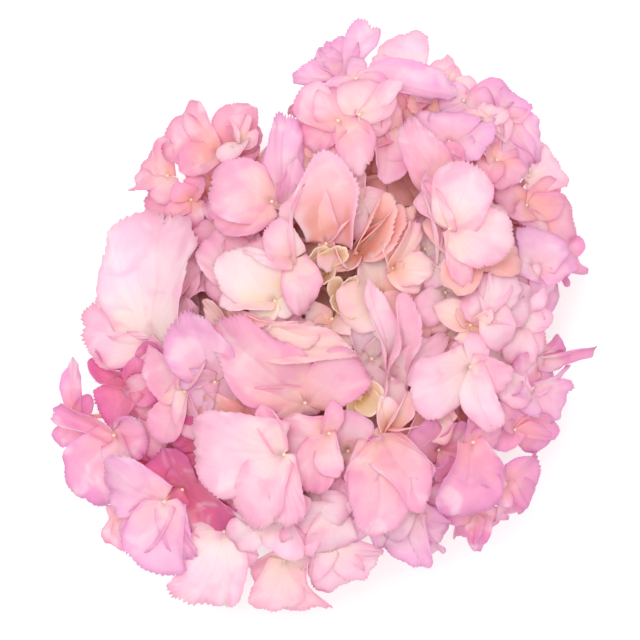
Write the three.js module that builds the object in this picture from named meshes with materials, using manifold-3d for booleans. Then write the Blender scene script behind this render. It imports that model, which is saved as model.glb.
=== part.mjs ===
// Mophead hydrangea, one cut flower head lying face up on its lowest sepals.
// Millimetres, +Z up. The origin is under the middle of the head, on the surface that it lies on.
import * as THREE from 'three';
import { mergeVertices } from 'three/addons/utils/BufferGeometryUtils.js';
import Module from 'manifold-3d';

const wasm = await Module();
wasm.setup();

// Sizes of the head
const SEPAL_THICKNESS = 0.74;      // showy sepal, thicker than life so that it stays solid
const CLEARANCE = 0.34;            // free space between two sprays, and round the stem
const STALK_RADIUS = 0.95;         // pedicel of one floret
const STALK_SIDES = 3;
const STALK_SINK = 0.02;           // how far its foot runs past the fork, as a share of its length
const EYE_RADIUS = 1.7;            // middle of a floret, which its four sepals open from
const EYE_SHARE = 0.14;            // and at most this share of its shortest sepal
const CLAW = 0.3;                  // width of a sepal where it leaves the eye, as a share of its widest
const WIDEST = 0.56;               // where along its length a sepal is widest
const BOW = 0.09;                  // arch of a sepal, as a share of its length
const CUP = 0.1;                   // rise of its edges, as a share of its width
const RAY_RADIUS = 1.9;            // branch that carries one spray
const RAY_SIDES = 6;
const RAY_ROOT = 4.4;              // distance of its root from the stem's axis, inside the stem's bark
const RAY_ROOT_DROP = 4;           // and how far below the top of the stem
const SEAT_GAP = 0.3;              // space left between a branch and the stem that it sits on
const STEM_RADIUS = 5;
const STEM_CUT_HEIGHT = 2.5;       // the cut end stays just off the surface
const STEM_TOP_HEIGHT = 44;
const STEM_SIDES = 10;
const HEAD_CORE = new THREE.Vector3(0, 0, -20);  // the shown sepals face away from this point
const FLOOR = 0;
const MERGE = 0.01;                // points nearer than this become one

// Colours of the parts
const PINKS = {
  upper_left: '#f3b3cf', upper_right: '#f6c0d6', right: '#efa9cb',
  lower_right: '#f1b5cd', bottom: '#f4b7d4', lower_left: '#f0a5c6',
};
const STEM_COLOUR = '#8a9a5b';

// Florets that show from above, set out by hand after the real head.
// Each row: spray, eye [x, y, z], sepals [tip x, tip y, tip z, width, turn in degrees about its own length].
const SHOWN_FLORETS = [
  ['upper_left', [-10, 19, 104],
    [[-18, 31, 108, 12, 0], [-6, 43, 112, 9, -25], [-27, 23, 106, 12, 10], [-5, 1, 102, 12, 0]]],
  ['upper_left', [-13, 36, 98],
    [[-13, 70, 97, 13, 0], [-9, 53, 104, 8, 15], [-21, 29, 95, 10, 0], [-3, 37, 94, 9, 0]]],
  ['upper_left', [-17, 38, 101],
    [[-37, 45, 102, 19, 0], [-38, 32, 99, 17, 0], [-22, 50, 99, 10, 0], [-9, 34, 94, 9, 0]]],
  ['upper_left', [-28, 57, 82],
    [[-29, 73, 78, 13, 0], [-36, 62, 80, 11, 0], [-19, 59, 83, 13, 0], [-24, 49, 88, 11, 0]]],
  ['upper_left', [-28, 58, 89],
    [[-32, 67, 92, 6, 50], [-27, 68, 91, 6, -50], [-31, 51, 95, 9, 0], [-22, 56, 91, 7, 0]]],
  ['upper_left', [-35, 55, 86],
    [[-44, 73, 77, 10, 0], [-52, 60, 77, 17, 0], [-45, 47, 92, 14, 0], [-31, 49, 92, 10, 0]]],
  ['upper_left', [-52, 47, 80],
    [[-63, 45, 68, 12, 0], [-57, 54, 70, 10, 0], [-53, 58, 80, 8, 40], [-54, 37, 82, 11, 0]]],
  ['upper_left', [-44, 39, 87],
    [[-60, 36, 73, 14, 0], [-47, 29, 85, 12, 0], [-48, 45, 93, 8, 0], [-39, 47, 92, 8, 0]]],
  ['upper_left', [-57, -10, 82],
    [[-52, 35, 87, 33, 0], [-82, -4, 66, 19, 0], [-76, -11, 64, 11, 0], [-50, -16, 84, 9, 0]]],
  ['upper_left', [-62, 10, 66],
    [[-74, 16, 56, 13, 0], [-65, 25, 59, 12, 0], [-77, 3, 58, 13, 0], [-62, -8, 66, 12, 0]]],
  ['upper_left', [1, 24, 99],
    [[3, 55, 113, 21, 0], [-6, 45, 104, 10, 0], [15, 35, 105, 6, -50], [8, 13, 96, 8, 30]]],
  ['upper_left', [-16, 5, 101],
    [[-30, 21, 104, 18, 0], [-33, 3, 102, 8, 20], [-10, 2, 101, 6, 0], [-22, -5, 98, 8, 0]]],
  ['upper_left', [-24, 11, 96],
    [[-40, 26, 98, 17, 0], [-27, 29, 98, 12, 0], [-38, 9, 95, 12, 0], [-13, 15, 97, 9, 0]]],
  ['upper_left', [-1, 14, 91],
    [[-4, 22, 102, 9, 0], [7, 23, 103, 7, 0], [2, 7, 101, 9, 0], [-6, 10, 101, 8, 0]]],
  ['upper_left', [8, 4, 90],
    [[5, 11, 100, 6, 0], [11, 13, 101, 5, 0], [10, -1, 100, 6, 0], [4, 1, 99, 6, 0]]],
  ['upper_right', [5, 65, 97],
    [[-10, 73, 96, 16, 0], [15, 48, 102, 14, 0], [-5, 57, 97, 13, 0], [2, 77, 95, 13, 0]]],
  ['upper_right', [7, 79, 82],
    [[15, 100, 68, 10, 0], [4, 95, 69, 14, 0], [-3, 90, 72, 10, 0], [-12, 83, 74, 12, 0]]],
  ['upper_right', [29, 79, 76],
    [[27, 95, 65, 18, 0], [38, 85, 68, 12, 0], [17, 84, 78, 12, 0], [36, 72, 80, 12, 0]]],
  ['upper_right', [11, 79, 90],
    [[45, 76, 82, 11, 15], [24, 72, 92, 10, 0], [9, 88, 82, 9, 0], [2, 72, 92, 9, 0]]],
  ['upper_right', [12, 67, 97],
    [[12, 81, 94, 14, 0], [24, 71, 97, 13, 0], [28, 78, 95, 7, 25], [19, 60, 97, 9, 0]]],
  ['upper_right', [42, 78, 70],
    [[41, 88, 60, 8, 0], [47, 83, 62, 8, 0], [36, 82, 72, 8, 0], [50, 74, 76, 9, 0]]],
  ['upper_right', [34, 68, 80],
    [[46, 71, 80, 14, 0], [27, 71, 84, 12, 0], [36, 60, 84, 12, 0], [39, 76, 76, 10, 0]]],
  ['upper_right', [47, 72, 80],
    [[64, 74, 70, 10, 0], [56, 69, 80, 12, 0], [44, 66, 88, 11, 0], [38, 75, 82, 11, 0]]],
  ['upper_right', [21, 61, 93],
    [[23, 46, 101, 11, 0], [19, 73, 94, 9, 0], [12, 56, 96, 9, 0], [27, 54, 97, 8, 20]]],
  ['upper_right', [39, 43, 98],
    [[27, 64, 101, 14, 0], [44, 56, 98, 11, 0], [33, 36, 96, 10, 0], [50, 40, 98, 11, 0]]],
  ['upper_right', [42, 58, 93],
    [[31, 65, 95, 14, 0], [45, 69, 92, 12, 0], [56, 54, 97, 15, 0], [43, 48, 99, 13, 0]]],
  ['upper_right', [52, 66, 88],
    [[44, 70, 86, 8, 0], [58, 71, 82, 11, 0], [62, 60, 86, 10, 0], [52, 56, 90, 10, 0]]],
  ['upper_right', [61, 66, 82],
    [[66, 73, 72, 12, 0], [75, 56, 70, 14, 0], [67, 46, 80, 12, 0], [54, 62, 88, 10, 0]]],
  ['upper_right', [58, 52, 88],
    [[52, 61, 92, 10, 0], [64, 58, 84, 10, 0], [64, 42, 88, 14, 0], [56, 44, 94, 11, 0]]],
  ['right', [42, 29, 107],
    [[50, 51, 109, 17, 0], [62, 21, 104, 22, 0], [48, 8, 103, 9, 25], [35, 43, 108, 7, 40]]],
  ['right', [38, 18, 98],
    [[35, 46, 107, 8, 35], [42, 30, 103, 7, 0], [33, 9, 98, 7, 0], [47, 14, 98, 9, 0]]],
  ['right', [69, 47, 76],
    [[82, 51, 62, 17, 0], [75, 57, 66, 10, 0], [64, 52, 80, 10, 0], [72, 41, 74, 11, 0]]],
  ['right', [68, 37, 80],
    [[83, 43, 65, 13, 0], [86, 30, 66, 14, 0], [58, 36, 88, 13, 0], [66, 29, 84, 12, 0]]],
  ['right', [71, 16, 84],
    [[72, 30, 84, 19, 0], [84, 22, 72, 15, 0], [73, 4, 77, 15, 0], [61, 19, 91, 14, 0]]],
  ['right', [79, 17, 68],
    [[86, 18, 57, 11, 0], [83, 28, 62, 9, 0], [80, 10, 62, 9, 0], [72, 12, 76, 9, 0]]],
  ['right', [55, 1, 95],
    [[61, 13, 93, 15, 0], [46, 10, 99, 14, 0], [70, 3, 86, 14, 0], [61, -12, 94, 14, 0]]],
  ['right', [66, -3, 86],
    [[75, -7, 78, 14, 0], [76, 3, 76, 10, 0], [66, -17, 86, 14, 0], [58, -3, 93, 11, 0]]],
  ['right', [49, -3, 96],
    [[36, 4, 100, 9, 5], [43, 5, 99, 8, 10], [55, 2, 99, 9, 5], [47, -11, 97, 11, 0]]],
  ['right', [11, 21, 96],
    [[23, 43, 106, 8, 20], [28, 38, 104, 8, 25], [33, 37, 102, 10, 20], [5, 12, 97, 7, 0]]],
  ['right', [23, 16, 96],
    [[32, 33, 105, 10, 15], [36, 15, 102, 12, -15], [31, 8, 99, 8, 20], [21, 27, 104, 6, 30]]],
  ['right', [23, -21, 91],
    [[15, 12, 102, 9, 15], [26, 8, 103, 9, 10], [41, -7, 99, 14, 0], [18, -33, 93, 9, 0]]],
  ['lower_right', [49, -17, 96],
    [[27, -26, 105, 20, 0], [57, -39, 94, 11, 0], [62, -22, 92, 10, 0], [50, -6, 98, 11, 0]]],
  ['lower_right', [72, -14, 80],
    [[92, -9, 63, 6, 20], [78, -6, 70, 8, 0], [80, -14, 68, 7, 0], [64, -20, 86, 12, 0]]],
  ['lower_right', [70, -24, 80],
    [[82, -20, 66, 10, 0], [82, -31, 66, 13, 0], [64, -32, 84, 14, 0], [74, -15, 76, 13, 0]]],
  ['lower_right', [64, -38, 80],
    [[81, -37, 66, 10, 0], [58, -30, 86, 10, 0], [57, -45, 84, 10, 0], [77, -44, 68, 11, 0]]],
  ['lower_right', [50, -42, 92],
    [[44, -67, 88, 19, 0], [58, -58, 86, 12, 0], [61, -38, 88, 10, 0], [52, -31, 96, 9, 0]]],
  ['lower_right', [61, -56, 78],
    [[74, -50, 70, 14, 0], [69, -63, 65, 12, 0], [61, -68, 66, 11, 0], [52, -62, 82, 12, 0]]],
  ['lower_right', [50, -66, 74],
    [[58, -70, 64, 12, 0], [53, -77, 62, 8, 0], [45, -74, 64, 9, 0], [42, -66, 80, 10, 0]]],
  ['lower_right', [36, -32, 88],
    [[28, -43, 93, 8, 20], [43, -41, 91, 11, 0], [47, -33, 92, 8, 0], [30, -27, 92, 8, 0]]],
  ['bottom', [22, -37, 92],
    [[16, -27, 98, 8, 0], [27, -25, 99, 7, 30], [14, -42, 96, 8, 20], [33, -37, 95, 8, 30]]],
  ['bottom', [19, -40, 94],
    [[37, -50, 99, 11, 20], [35, -64, 98, 15, 0], [16, -75, 97, 20, 0], [8, -58, 100, 10, 20]]],
  ['bottom', [31, -65, 86],
    [[26, -83, 72, 16, 0], [41, -74, 74, 13, 0], [37, -78, 66, 8, 0], [18, -73, 84, 10, 0]]],
  ['bottom', [4, -77, 80],
    [[17, -86, 70, 13, 0], [4, -90, 66, 14, 0], [-8, -83, 74, 13, 0], [9, -68, 86, 12, 0]]],
  ['bottom', [3, -64, 90],
    [[-12, -66, 92, 12, 0], [-14, -78, 85, 15, 0], [2, -81, 82, 14, 0], [6, -53, 94, 11, 0]]],
  ['bottom', [-13, -82, 70],
    [[-19, -100, 56, 18, 0], [-3, -99, 56, 17, 0], [-25, -87, 64, 13, 0], [-6, -74, 78, 13, 0]]],
  ['bottom', [12, -27, 91],
    [[8, -22, 98, 8, 0], [17, -23, 98, 8, 0], [16, -32, 98, 8, 0], [7, -32, 98, 8, 0]]],
  ['lower_left', [-13, -46, 103],
    [[-45, -42, 101, 27, 0], [-26, -70, 99, 16, 10], [-11, -71, 102, 13, 15], [-21, -30, 104, 7, 20]]],
  ['lower_left', [2, -39, 99],
    [[-15, -41, 99, 17, 0], [-4, -57, 98, 14, 0], [6, -53, 104, 9, 30], [3, -29, 105, 8, 30]]],
  ['lower_left', [-47, -58, 82],
    [[-53, -41, 87, 15, 0], [-27, -72, 85, 19, 0], [-42, -49, 86, 14, 0], [-54, -64, 80, 9, 0]]],
  ['lower_left', [-33, -72, 81],
    [[-42, -99, 66, 25, 0], [-24, -84, 76, 13, 0], [-44, -62, 82, 12, 0], [-24, -66, 84, 11, 0]]],
  ['lower_left', [-53, -62, 84],
    [[-73, -51, 78, 20, 0], [-63, -77, 76, 12, 0], [-57, -85, 76, 17, 0], [-45, -79, 80, 10, 0]]],
  ['lower_left', [-66, -67, 62],
    [[-75, -62, 54, 10, 0], [-72, -75, 54, 10, 0], [-61, -78, 58, 10, 0], [-56, -58, 68, 12, 0]]],
  ['lower_left', [-70, -40, 76],
    [[-81, -61, 64, 17, 0], [-57, -38, 82, 13, 0], [-63, -50, 80, 12, 0], [-92, -31, 62, 6, 10]]],
  ['lower_left', [-64, -24, 79],
    [[-74, -36, 74, 14, 0], [-80, -14, 70, 7, 0], [-63, -14, 84, 6, 20], [-57, -28, 84, 9, 0]]],
  ['lower_left', [-84, -34, 60],
    [[-87, -13, 66, 7, 0], [-78, -28, 64, 8, 0], [-76, -40, 62, 8, 0], [-89, -46, 56, 9, 0]]],
  ['lower_left', [-46, -25, 91],
    [[-60, -14, 86, 16, 0], [-53, -40, 88, 14, 0], [-42, -41, 90, 8, 0], [-43, -9, 94, 9, 0]]],
  ['lower_left', [-36, -22, 94],
    [[-44, 2, 99, 18, 0], [-25, -32, 93, 10, 0], [-40, -36, 90, 9, 0], [-49, -18, 92, 10, 0]]],
  ['lower_left', [-6, -29, 96],
    [[-37, -1, 101, 24, 0], [12, -16, 99, 17, 0], [-28, -28, 98, 14, 0], [-7, -36, 93, 9, 0]]],
  ['lower_left', [-32, -3, 97],
    [[-1, -6, 102, 11, 0], [10, -14, 101, 13, -10], [-13, 1, 101, 6, 30], [-39, 4, 95, 8, 0]]],
  ['lower_left', [3, -1, 93],
    [[9, -6, 100, 8, -20], [-3, -12, 98, 9, 0], [5, -13, 97, 9, 0], [-7, 0, 96, 7, 0]]],
];

// Where each spray branches: its first fork [x, y, z], and the bearing in degrees of its middle.
const SPRAYS = {
  upper_left: { fork: [-24, 24, 58], bearing: 148 },
  lower_left: { fork: [-28, -26, 58], bearing: 216 },
  right: { fork: [38, 14, 58], bearing: 12 },
  upper_right: { fork: [18, 42, 56], bearing: 68 },
  lower_right: { fork: [34, -22, 56], bearing: -32 },
  bottom: { fork: [8, -42, 54], bearing: -84 },
};

// How far the head reaches at a bearing in degrees, as seen from above.
const REACH = [[0, 73], [30, 86], [60, 80], [90, 78], [109, 50], [125, 70], [145, 66], [165, 68],
  [188, 70], [215, 85], [250, 87], [280, 80], [310, 79], [335, 80], [360, 73]];

// Rings of florets below the shown ones: how many, height of the eye, share of the reach,
// downward lean of the face in degrees and length of a sepal.
const RINGS = [
  { count: 9, height: 42, share: 0.78, lean: 8, length: 25 },
  { count: 7, height: 12, share: 0.6, lean: 46, length: 25 },
];

// Florets deep between the shown ones: eye [x, y, z], length of a sepal and roll in degrees.
const DEEP_FLORETS = [[-34, 26, 80, 21, 5], [28, 37, 80, 21, 30]];
const SEED = 57;

const vec = (list) => new THREE.Vector3(list[0], list[1], list[2]);
const radians = (degrees) => (degrees * Math.PI) / 180;

// Small seeded generator of numbers from 0 to 1.
function makeDraw(seed) {
  let state = seed;
  return () => {
    state = (state * 16807) % 2147483647;
    return state / 2147483647;
  };
}

function reachAt(bearing) {
  const angle = ((bearing % 360) + 360) % 360;
  const next = REACH.findIndex((entry) => entry[0] > angle);
  const [fromAngle, from] = REACH[next - 1];
  const [toAngle, to] = REACH[next];
  return from + ((to - from) * (angle - fromAngle)) / (toAngle - fromAngle);
}

// The spray whose middle bearing is nearest.
function sprayAt(bearing) {
  let best = null;
  let least = 361;
  for (const [name, spray] of Object.entries(SPRAYS)) {
    const away = Math.abs(((bearing - spray.bearing + 540) % 360) - 180);
    if (away < least) {
      least = away;
      best = name;
    }
  }
  return best;
}

// Half width of a sepal along its length, as a share of its widest: claw, broad middle, round tip.
function outline(s) {
  if (s < WIDEST) return CLAW + (1 - CLAW) * Math.sin((Math.PI / 2) * (s / WIDEST));
  return Math.sqrt(Math.max(0, 1 - ((s - WIDEST) / (1 - WIDEST)) ** 2));
}

// One floret of the shown list, as its eye and four sepals.
function shownFloret([spray, eye, tips]) {
  const sepals = tips.map(([x, y, z, width, turn]) => ({ tip: new THREE.Vector3(x, y, z), width, turn }));
  return { spray, eye: vec(eye), sepals, shown: true };
}

// A floret set by its facing: four sepals a quarter turn apart, lifted a little out of its plane.
function facingFloret(spray, eye, facing, roll, length, draw) {
  const side = new THREE.Vector3(0, 0, 1).cross(facing).normalize();
  const up = facing.clone().cross(side);
  const sepals = [];
  for (let k = 0; k < 4; k += 1) {
    const angle = roll + (k * Math.PI) / 2 + (draw() - 0.5) * 0.3;
    const reach = length * (0.9 + 0.2 * draw());
    const tip = eye.clone()
      .addScaledVector(side, Math.cos(angle) * reach)
      .addScaledVector(up, Math.sin(angle) * reach)
      .addScaledVector(facing, reach * (0.05 + 0.3 * draw()));
    sepals.push({ tip, width: reach * (0.8 + 0.2 * draw()), turn: 0 });
  }
  return { spray, eye, facing, sepals, shown: false };
}

function ringFlorets(draw) {
  const florets = [];
  RINGS.forEach((ring, row) => {
    for (let i = 0; i < ring.count; i += 1) {
      const bearing = ((i + 0.5 * row + 0.2 * draw()) * 360) / ring.count;
      const angle = radians(bearing);
      const radius = reachAt(bearing) * ring.share;
      const height = ring.height + (draw() - 0.5) * 6;
      const eye = new THREE.Vector3(Math.cos(angle) * radius, Math.sin(angle) * radius, height);
      const lean = radians(ring.lean + (draw() - 0.5) * 16);
      const facing = new THREE.Vector3(
        Math.cos(angle) * Math.cos(lean), Math.sin(angle) * Math.cos(lean), -Math.sin(lean));
      florets.push(facingFloret(sprayAt(bearing), eye, facing, draw() * 1.5, ring.length, draw));
    }
  });
  return florets;
}

function deepFlorets(draw) {
  return DEEP_FLORETS.map(([x, y, z, length, roll]) => {
    const facing = new THREE.Vector3(x, y, 2 * z).normalize();
    const bearing = (Math.atan2(y, x) * 180) / Math.PI;
    return facingFloret(sprayAt(bearing), new THREE.Vector3(x, y, z), facing, radians(roll), length, draw);
  });
}

// Directions of a sepal: along it, across it, and out of its face.
function sepalFrame({ eye, facing }, sepal) {
  const along = sepal.tip.clone().sub(eye);
  const length = along.length();
  along.normalize();
  const middle = eye.clone().lerp(sepal.tip, 0.5);
  const face = facing ? facing.clone() : middle.sub(HEAD_CORE).normalize();
  face.addScaledVector(along, -face.dot(along)).normalize();
  face.applyAxisAngle(along, radians(sepal.turn));
  const across = face.clone().cross(along).normalize();
  return { along, across, face, length };
}

// A closed mesh as a solid that can be joined and cut.
function solid(points, triangles) {
  const vertProperties = new Float32Array(points.length * 3);
  points.forEach((point, i) => point.toArray(vertProperties, 3 * i));
  const triVerts = new Uint32Array(triangles.flat());
  return new wasm.Manifold(new wasm.Mesh({ numProp: 3, vertProperties, triVerts, tolerance: MERGE }));
}

// Rows of points across a sepal between its claw and its tip, as shares of its length.
const LARGE = { width: 20.5, rows: [0.3, 0.62, 0.88] };
const MIDDLING = { width: 17, rows: [0.4, 0.8] };
const SMALL_ROWS = [0.6];

// Directions of all four sepals in turn round the eye, and the corners of the eye between them.
function floretFrames(floret, grow) {
  const frames = floret.sepals.map((sepal) => ({ ...sepalFrame(floret, sepal), width: sepal.width }));
  const facing = frames.reduce((sum, frame) => sum.add(frame.face), new THREE.Vector3()).normalize();
  const side = frames[0].along.clone().addScaledVector(facing, -frames[0].along.dot(facing)).normalize();
  const up = facing.clone().cross(side);
  const fullTurn = 2 * Math.PI;
  for (const frame of frames) {
    const angle = Math.atan2(frame.along.dot(up), frame.along.dot(side));
    frame.angle = angle < -1e-6 ? angle + fullTurn : angle;
  }
  frames.sort((a, b) => a.angle - b.angle);
  const shortest = Math.min(...frames.map((frame) => frame.length));
  const radius = Math.min(EYE_RADIUS, EYE_SHARE * shortest) + grow;
  const drift = frames.reduce((sum, frame, k) => sum + frame.angle - (k * fullTurn) / 4, 0) / 4;
  const corners = frames.map((frame, k) => {
    const next = k < 3 ? frames[k + 1].angle : frames[0].angle + fullTurn;
    const even = drift + ((k + 0.5) * fullTurn) / 4;
    const angle = 0.4 * ((frame.angle + next) / 2) + 0.6 * even;
    return floret.eye.clone()
      .addScaledVector(side, Math.cos(angle) * radius)
      .addScaledVector(up, Math.sin(angle) * radius);
  });
  return { frames, facing, corners };
}

// A sheet of points with its outer rim, given thickness: closed, and alike on both faces.
function thickSheet(points, faces, rim, half) {
  const front = [];
  const back = [];
  for (const { at, out } of points) {
    const pressed = at.z < FLOOR + SEPAL_THICKNESS / 2;
    const middle = pressed ? at.clone().setZ(FLOOR + SEPAL_THICKNESS / 2) : at;
    const offset = pressed ? new THREE.Vector3(0, 0, Math.sign(out.z) || 1) : out;
    front.push(middle.clone().addScaledVector(offset, half));
    back.push(middle.clone().addScaledVector(offset, -half));
  }
  const count = points.length;
  const triangles = [];
  for (const [a, b, c] of faces) triangles.push([a, b, c], [a + count, c + count, b + count]);
  rim.forEach((a, i) => {
    const b = rim[(i + 1) % rim.length];
    triangles.push([a, a + count, b + count], [a, b + count, b]);
  });
  return solid([...front, ...back], triangles);
}

// More rows for the broad sepals that show, one for narrow and hidden ones.
function rowShares(floret, width) {
  if (!floret.shown || width < MIDDLING.width) return SMALL_ROWS;
  return width < LARGE.width ? MIDDLING.rows : LARGE.rows;
}

// One sepal with the square eye that it opens from: a thin cupped blade. Grow makes it larger all round.
function sepalSolid(floret, facing, corners, frame, k, grow) {
  const { along, across, face, length, width } = frame;
  const reach = length + grow;
  const points = corners.map((at) => ({ at, out: facing }));
  const base = [(k + 3) % 4, k];
  const far = [(k + 1) % 4, (k + 2) % 4];
  const faces = [[0, 1, 2], [0, 2, 3]];
  const rows = rowShares(floret, width).map((s) => [-1, 0, 1].map((side) => {
    const halfWidth = (width / 2) * outline(s) + grow;
    const bow = BOW * length * Math.sin(Math.PI * s) + CUP * width * side * side * outline(s);
    const at = floret.eye.clone().addScaledVector(along, reach * s)
      .addScaledVector(across, side * halfWidth).addScaledVector(face, bow);
    return points.push({ at, out: face }) - 1;
  }));
  const tip = points.push({ at: floret.eye.clone().addScaledVector(along, reach), out: face }) - 1;
  const first = rows[0];
  faces.push([base[0], first[0], first[1]], [base[0], first[1], base[1]], [base[1], first[1], first[2]]);
  for (let row = 1; row < rows.length; row += 1) {
    const near = rows[row - 1];
    const next = rows[row];
    faces.push([near[0], next[0], near[1]], [next[0], next[1], near[1]]);
    faces.push([near[1], next[1], next[2]], [near[1], next[2], near[2]]);
  }
  const last = rows[rows.length - 1];
  faces.push([last[0], tip, last[1]], [last[1], tip, last[2]]);
  const rim = [base[0], ...rows.map((row) => row[0]), tip,
    ...rows.map((row) => row[2]).reverse(), base[1], ...far];
  return thickSheet(points, faces, rim, SEPAL_THICKNESS / 2 + grow);
}

function floretSolid(floret, grow) {
  const { frames, facing, corners } = floretFrames(floret, grow);
  return join(frames.map((frame, k) => sepalSolid(floret, facing, corners, frame, k, grow)));
}

// A straight stalk with a few sides and closed ends.
function stalkSolid(from, to, radius, sides) {
  const along = to.clone().sub(from).normalize();
  const helper = Math.abs(along.z) < 0.9 ? new THREE.Vector3(0, 0, 1) : new THREE.Vector3(1, 0, 0);
  const side = helper.cross(along).normalize();
  const up = along.clone().cross(side);
  const points = [];
  for (const centre of [from, to]) {
    for (let i = 0; i < sides; i += 1) {
      const angle = (i * 2 * Math.PI) / sides;
      points.push(centre.clone()
        .addScaledVector(side, radius * Math.cos(angle))
        .addScaledVector(up, radius * Math.sin(angle)));
    }
  }
  const triangles = [];
  for (let i = 0; i < sides; i += 1) {
    const j = (i + 1) % sides;
    triangles.push([i, j, sides + j], [i, sides + j, sides + i]);
  }
  for (let i = 1; i < sides - 1; i += 1) {
    triangles.push([0, i + 1, i], [sides, sides + i, sides + i + 1]);
  }
  return solid(points, triangles);
}

// Every solid of one spray: its branch, then the stalk, eye and sepals of each floret.
function sprayPieces(name, florets, grow) {
  const fork = vec(SPRAYS[name].fork);
  const outward = fork.clone().setZ(0).normalize();
  const root = outward.multiplyScalar(RAY_ROOT).setZ(STEM_TOP_HEIGHT - RAY_ROOT_DROP);
  const pieces = [stalkSolid(root, fork, RAY_RADIUS + grow, RAY_SIDES)];
  for (const floret of florets) {
    const foot = fork.clone().lerp(floret.eye, -STALK_SINK);
    pieces.push(stalkSolid(foot, floret.eye, STALK_RADIUS + grow, STALK_SIDES));
    pieces.push(floretSolid(floret, grow));
  }
  return pieces;
}

const join = (pieces) => pieces.reduce((whole, piece) => whole.add(piece));

// The largest body alone: loose scraps are dropped and sealed hollows filled.
function largestBody(body) {
  const bodies = body.decompose();
  return bodies.reduce((best, other) => (other.volume() > best.volume() ? other : best));
}

function meshOf(name, body, colour) {
  const { vertProperties, triVerts } = body.getMesh();
  const geometry = new THREE.BufferGeometry();
  geometry.setAttribute('position', new THREE.BufferAttribute(vertProperties, 3));
  geometry.setIndex(new THREE.BufferAttribute(triVerts, 1));
  geometry.computeVertexNormals();
  const material = new THREE.MeshStandardMaterial({
    color: colour, roughness: 0.7, metalness: 0, flatShading: true });
  const mesh = new THREE.Mesh(geometry, material);
  mesh.name = name;
  return mesh;
}

// The cut stem, swollen at the node that the branches leave from. Grow makes it larger all round.
function stemSolid(grow) {
  const profile = [[0, STEM_CUT_HEIGHT - grow], [STEM_RADIUS, STEM_CUT_HEIGHT - grow],
    [STEM_RADIUS * 0.94, 24], [STEM_RADIUS * 1.12, STEM_TOP_HEIGHT - 6],
    [STEM_RADIUS * 0.8, STEM_TOP_HEIGHT + grow], [0, STEM_TOP_HEIGHT + 1 + grow]];
  const points = profile.map(([radius, height]) => new THREE.Vector2(radius > 0 ? radius + grow : 0, height));
  const geometry = new THREE.LatheGeometry(points, STEM_SIDES);
  geometry.rotateX(Math.PI / 2);
  geometry.deleteAttribute('normal');
  geometry.deleteAttribute('uv');
  const merged = mergeVertices(geometry);
  const corners = [];
  for (let i = 0; i < merged.index.count; i += 3) {
    const triangle = [0, 1, 2].map((k) => merged.index.getX(i + k));
    if (new Set(triangle).size === 3) corners.push(triangle);
  }
  const position = merged.getAttribute('position');
  const vertices = [];
  for (let i = 0; i < position.count; i += 1) {
    vertices.push(new THREE.Vector3().fromBufferAttribute(position, i));
  }
  return solid(vertices, corners);
}

function buildHead() {
  const draw = makeDraw(SEED);
  const florets = [...SHOWN_FLORETS.map(shownFloret), ...ringFlorets(draw), ...deepFlorets(draw)];
  const group = new THREE.Group();
  group.add(meshOf('stem', stemSolid(0), STEM_COLOUR));
  const taken = [stemSolid(SEAT_GAP)];
  for (const name of Object.keys(SPRAYS)) {
    const own = florets.filter((floret) => floret.spray === name);
    let body = join(sprayPieces(name, own, 0));
    for (const other of taken) body = body.subtract(other);
    body = largestBody(body);
    taken.push(join([...sprayPieces(name, own, CLEARANCE), body]));
    group.add(meshOf(`spray_${name}`, body, PINKS[name]));
  }
  return group;
}

export default buildHead();
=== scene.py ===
"""A mophead hydrangea: one cut flower head lying face up on a pale floor, seen from straight above.

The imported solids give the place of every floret. This script dresses them: toothed, rippled sepals with
veins and rims of a deeper colour, the closed buds at their middles, their stalks, and the bark of the stem.
"""

import logging
import math
from dataclasses import dataclass, field
from enum import Enum
from typing import Any, Iterable

import bmesh
import bpy
import numpy as np
from mathutils import Matrix, Quaternion, Vector

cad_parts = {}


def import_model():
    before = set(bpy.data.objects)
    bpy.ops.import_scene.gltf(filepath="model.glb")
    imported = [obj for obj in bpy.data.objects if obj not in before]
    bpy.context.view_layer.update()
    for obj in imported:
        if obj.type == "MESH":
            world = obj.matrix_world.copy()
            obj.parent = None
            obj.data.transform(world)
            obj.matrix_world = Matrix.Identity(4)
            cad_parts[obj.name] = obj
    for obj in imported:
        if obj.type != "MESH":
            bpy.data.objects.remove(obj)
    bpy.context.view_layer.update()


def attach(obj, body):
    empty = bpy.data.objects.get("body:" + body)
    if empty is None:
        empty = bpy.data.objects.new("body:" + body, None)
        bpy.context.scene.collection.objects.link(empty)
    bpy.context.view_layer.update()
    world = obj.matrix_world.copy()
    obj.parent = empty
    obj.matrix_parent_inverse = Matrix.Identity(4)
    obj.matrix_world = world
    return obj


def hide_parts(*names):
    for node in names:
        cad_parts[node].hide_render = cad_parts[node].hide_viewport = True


LOG = logging.getLogger("hydrangea")
MM = 0.001

Triple = tuple[float, float, float]
Tip = tuple[float, float, float, float, float]
Socket = bpy.types.NodeSocket

SMOOTH = {"interpolation_type": "SMOOTHSTEP"}
MULTIPLY = {"operation": "MULTIPLY"}
COLOURS = {"data_type": "RGBA"}


# Helpers shared by every piece


def srgb(code: str) -> Triple:
    """Turn a colour as seen on a screen into the linear one that shaders use.

    Args:
        code: Six hex digits, with or without a leading hash.

    Returns:
        Red, green and blue, linear, from 0 to 1.
    """
    parts = [int(code.lstrip("#")[i : i + 2], 16) / 255 for i in (0, 2, 4)]
    red, green, blue = (p / 12.92 if p <= 0.04045 else ((p + 0.055) / 1.055) ** 2.4 for p in parts)
    return red, green, blue


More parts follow.
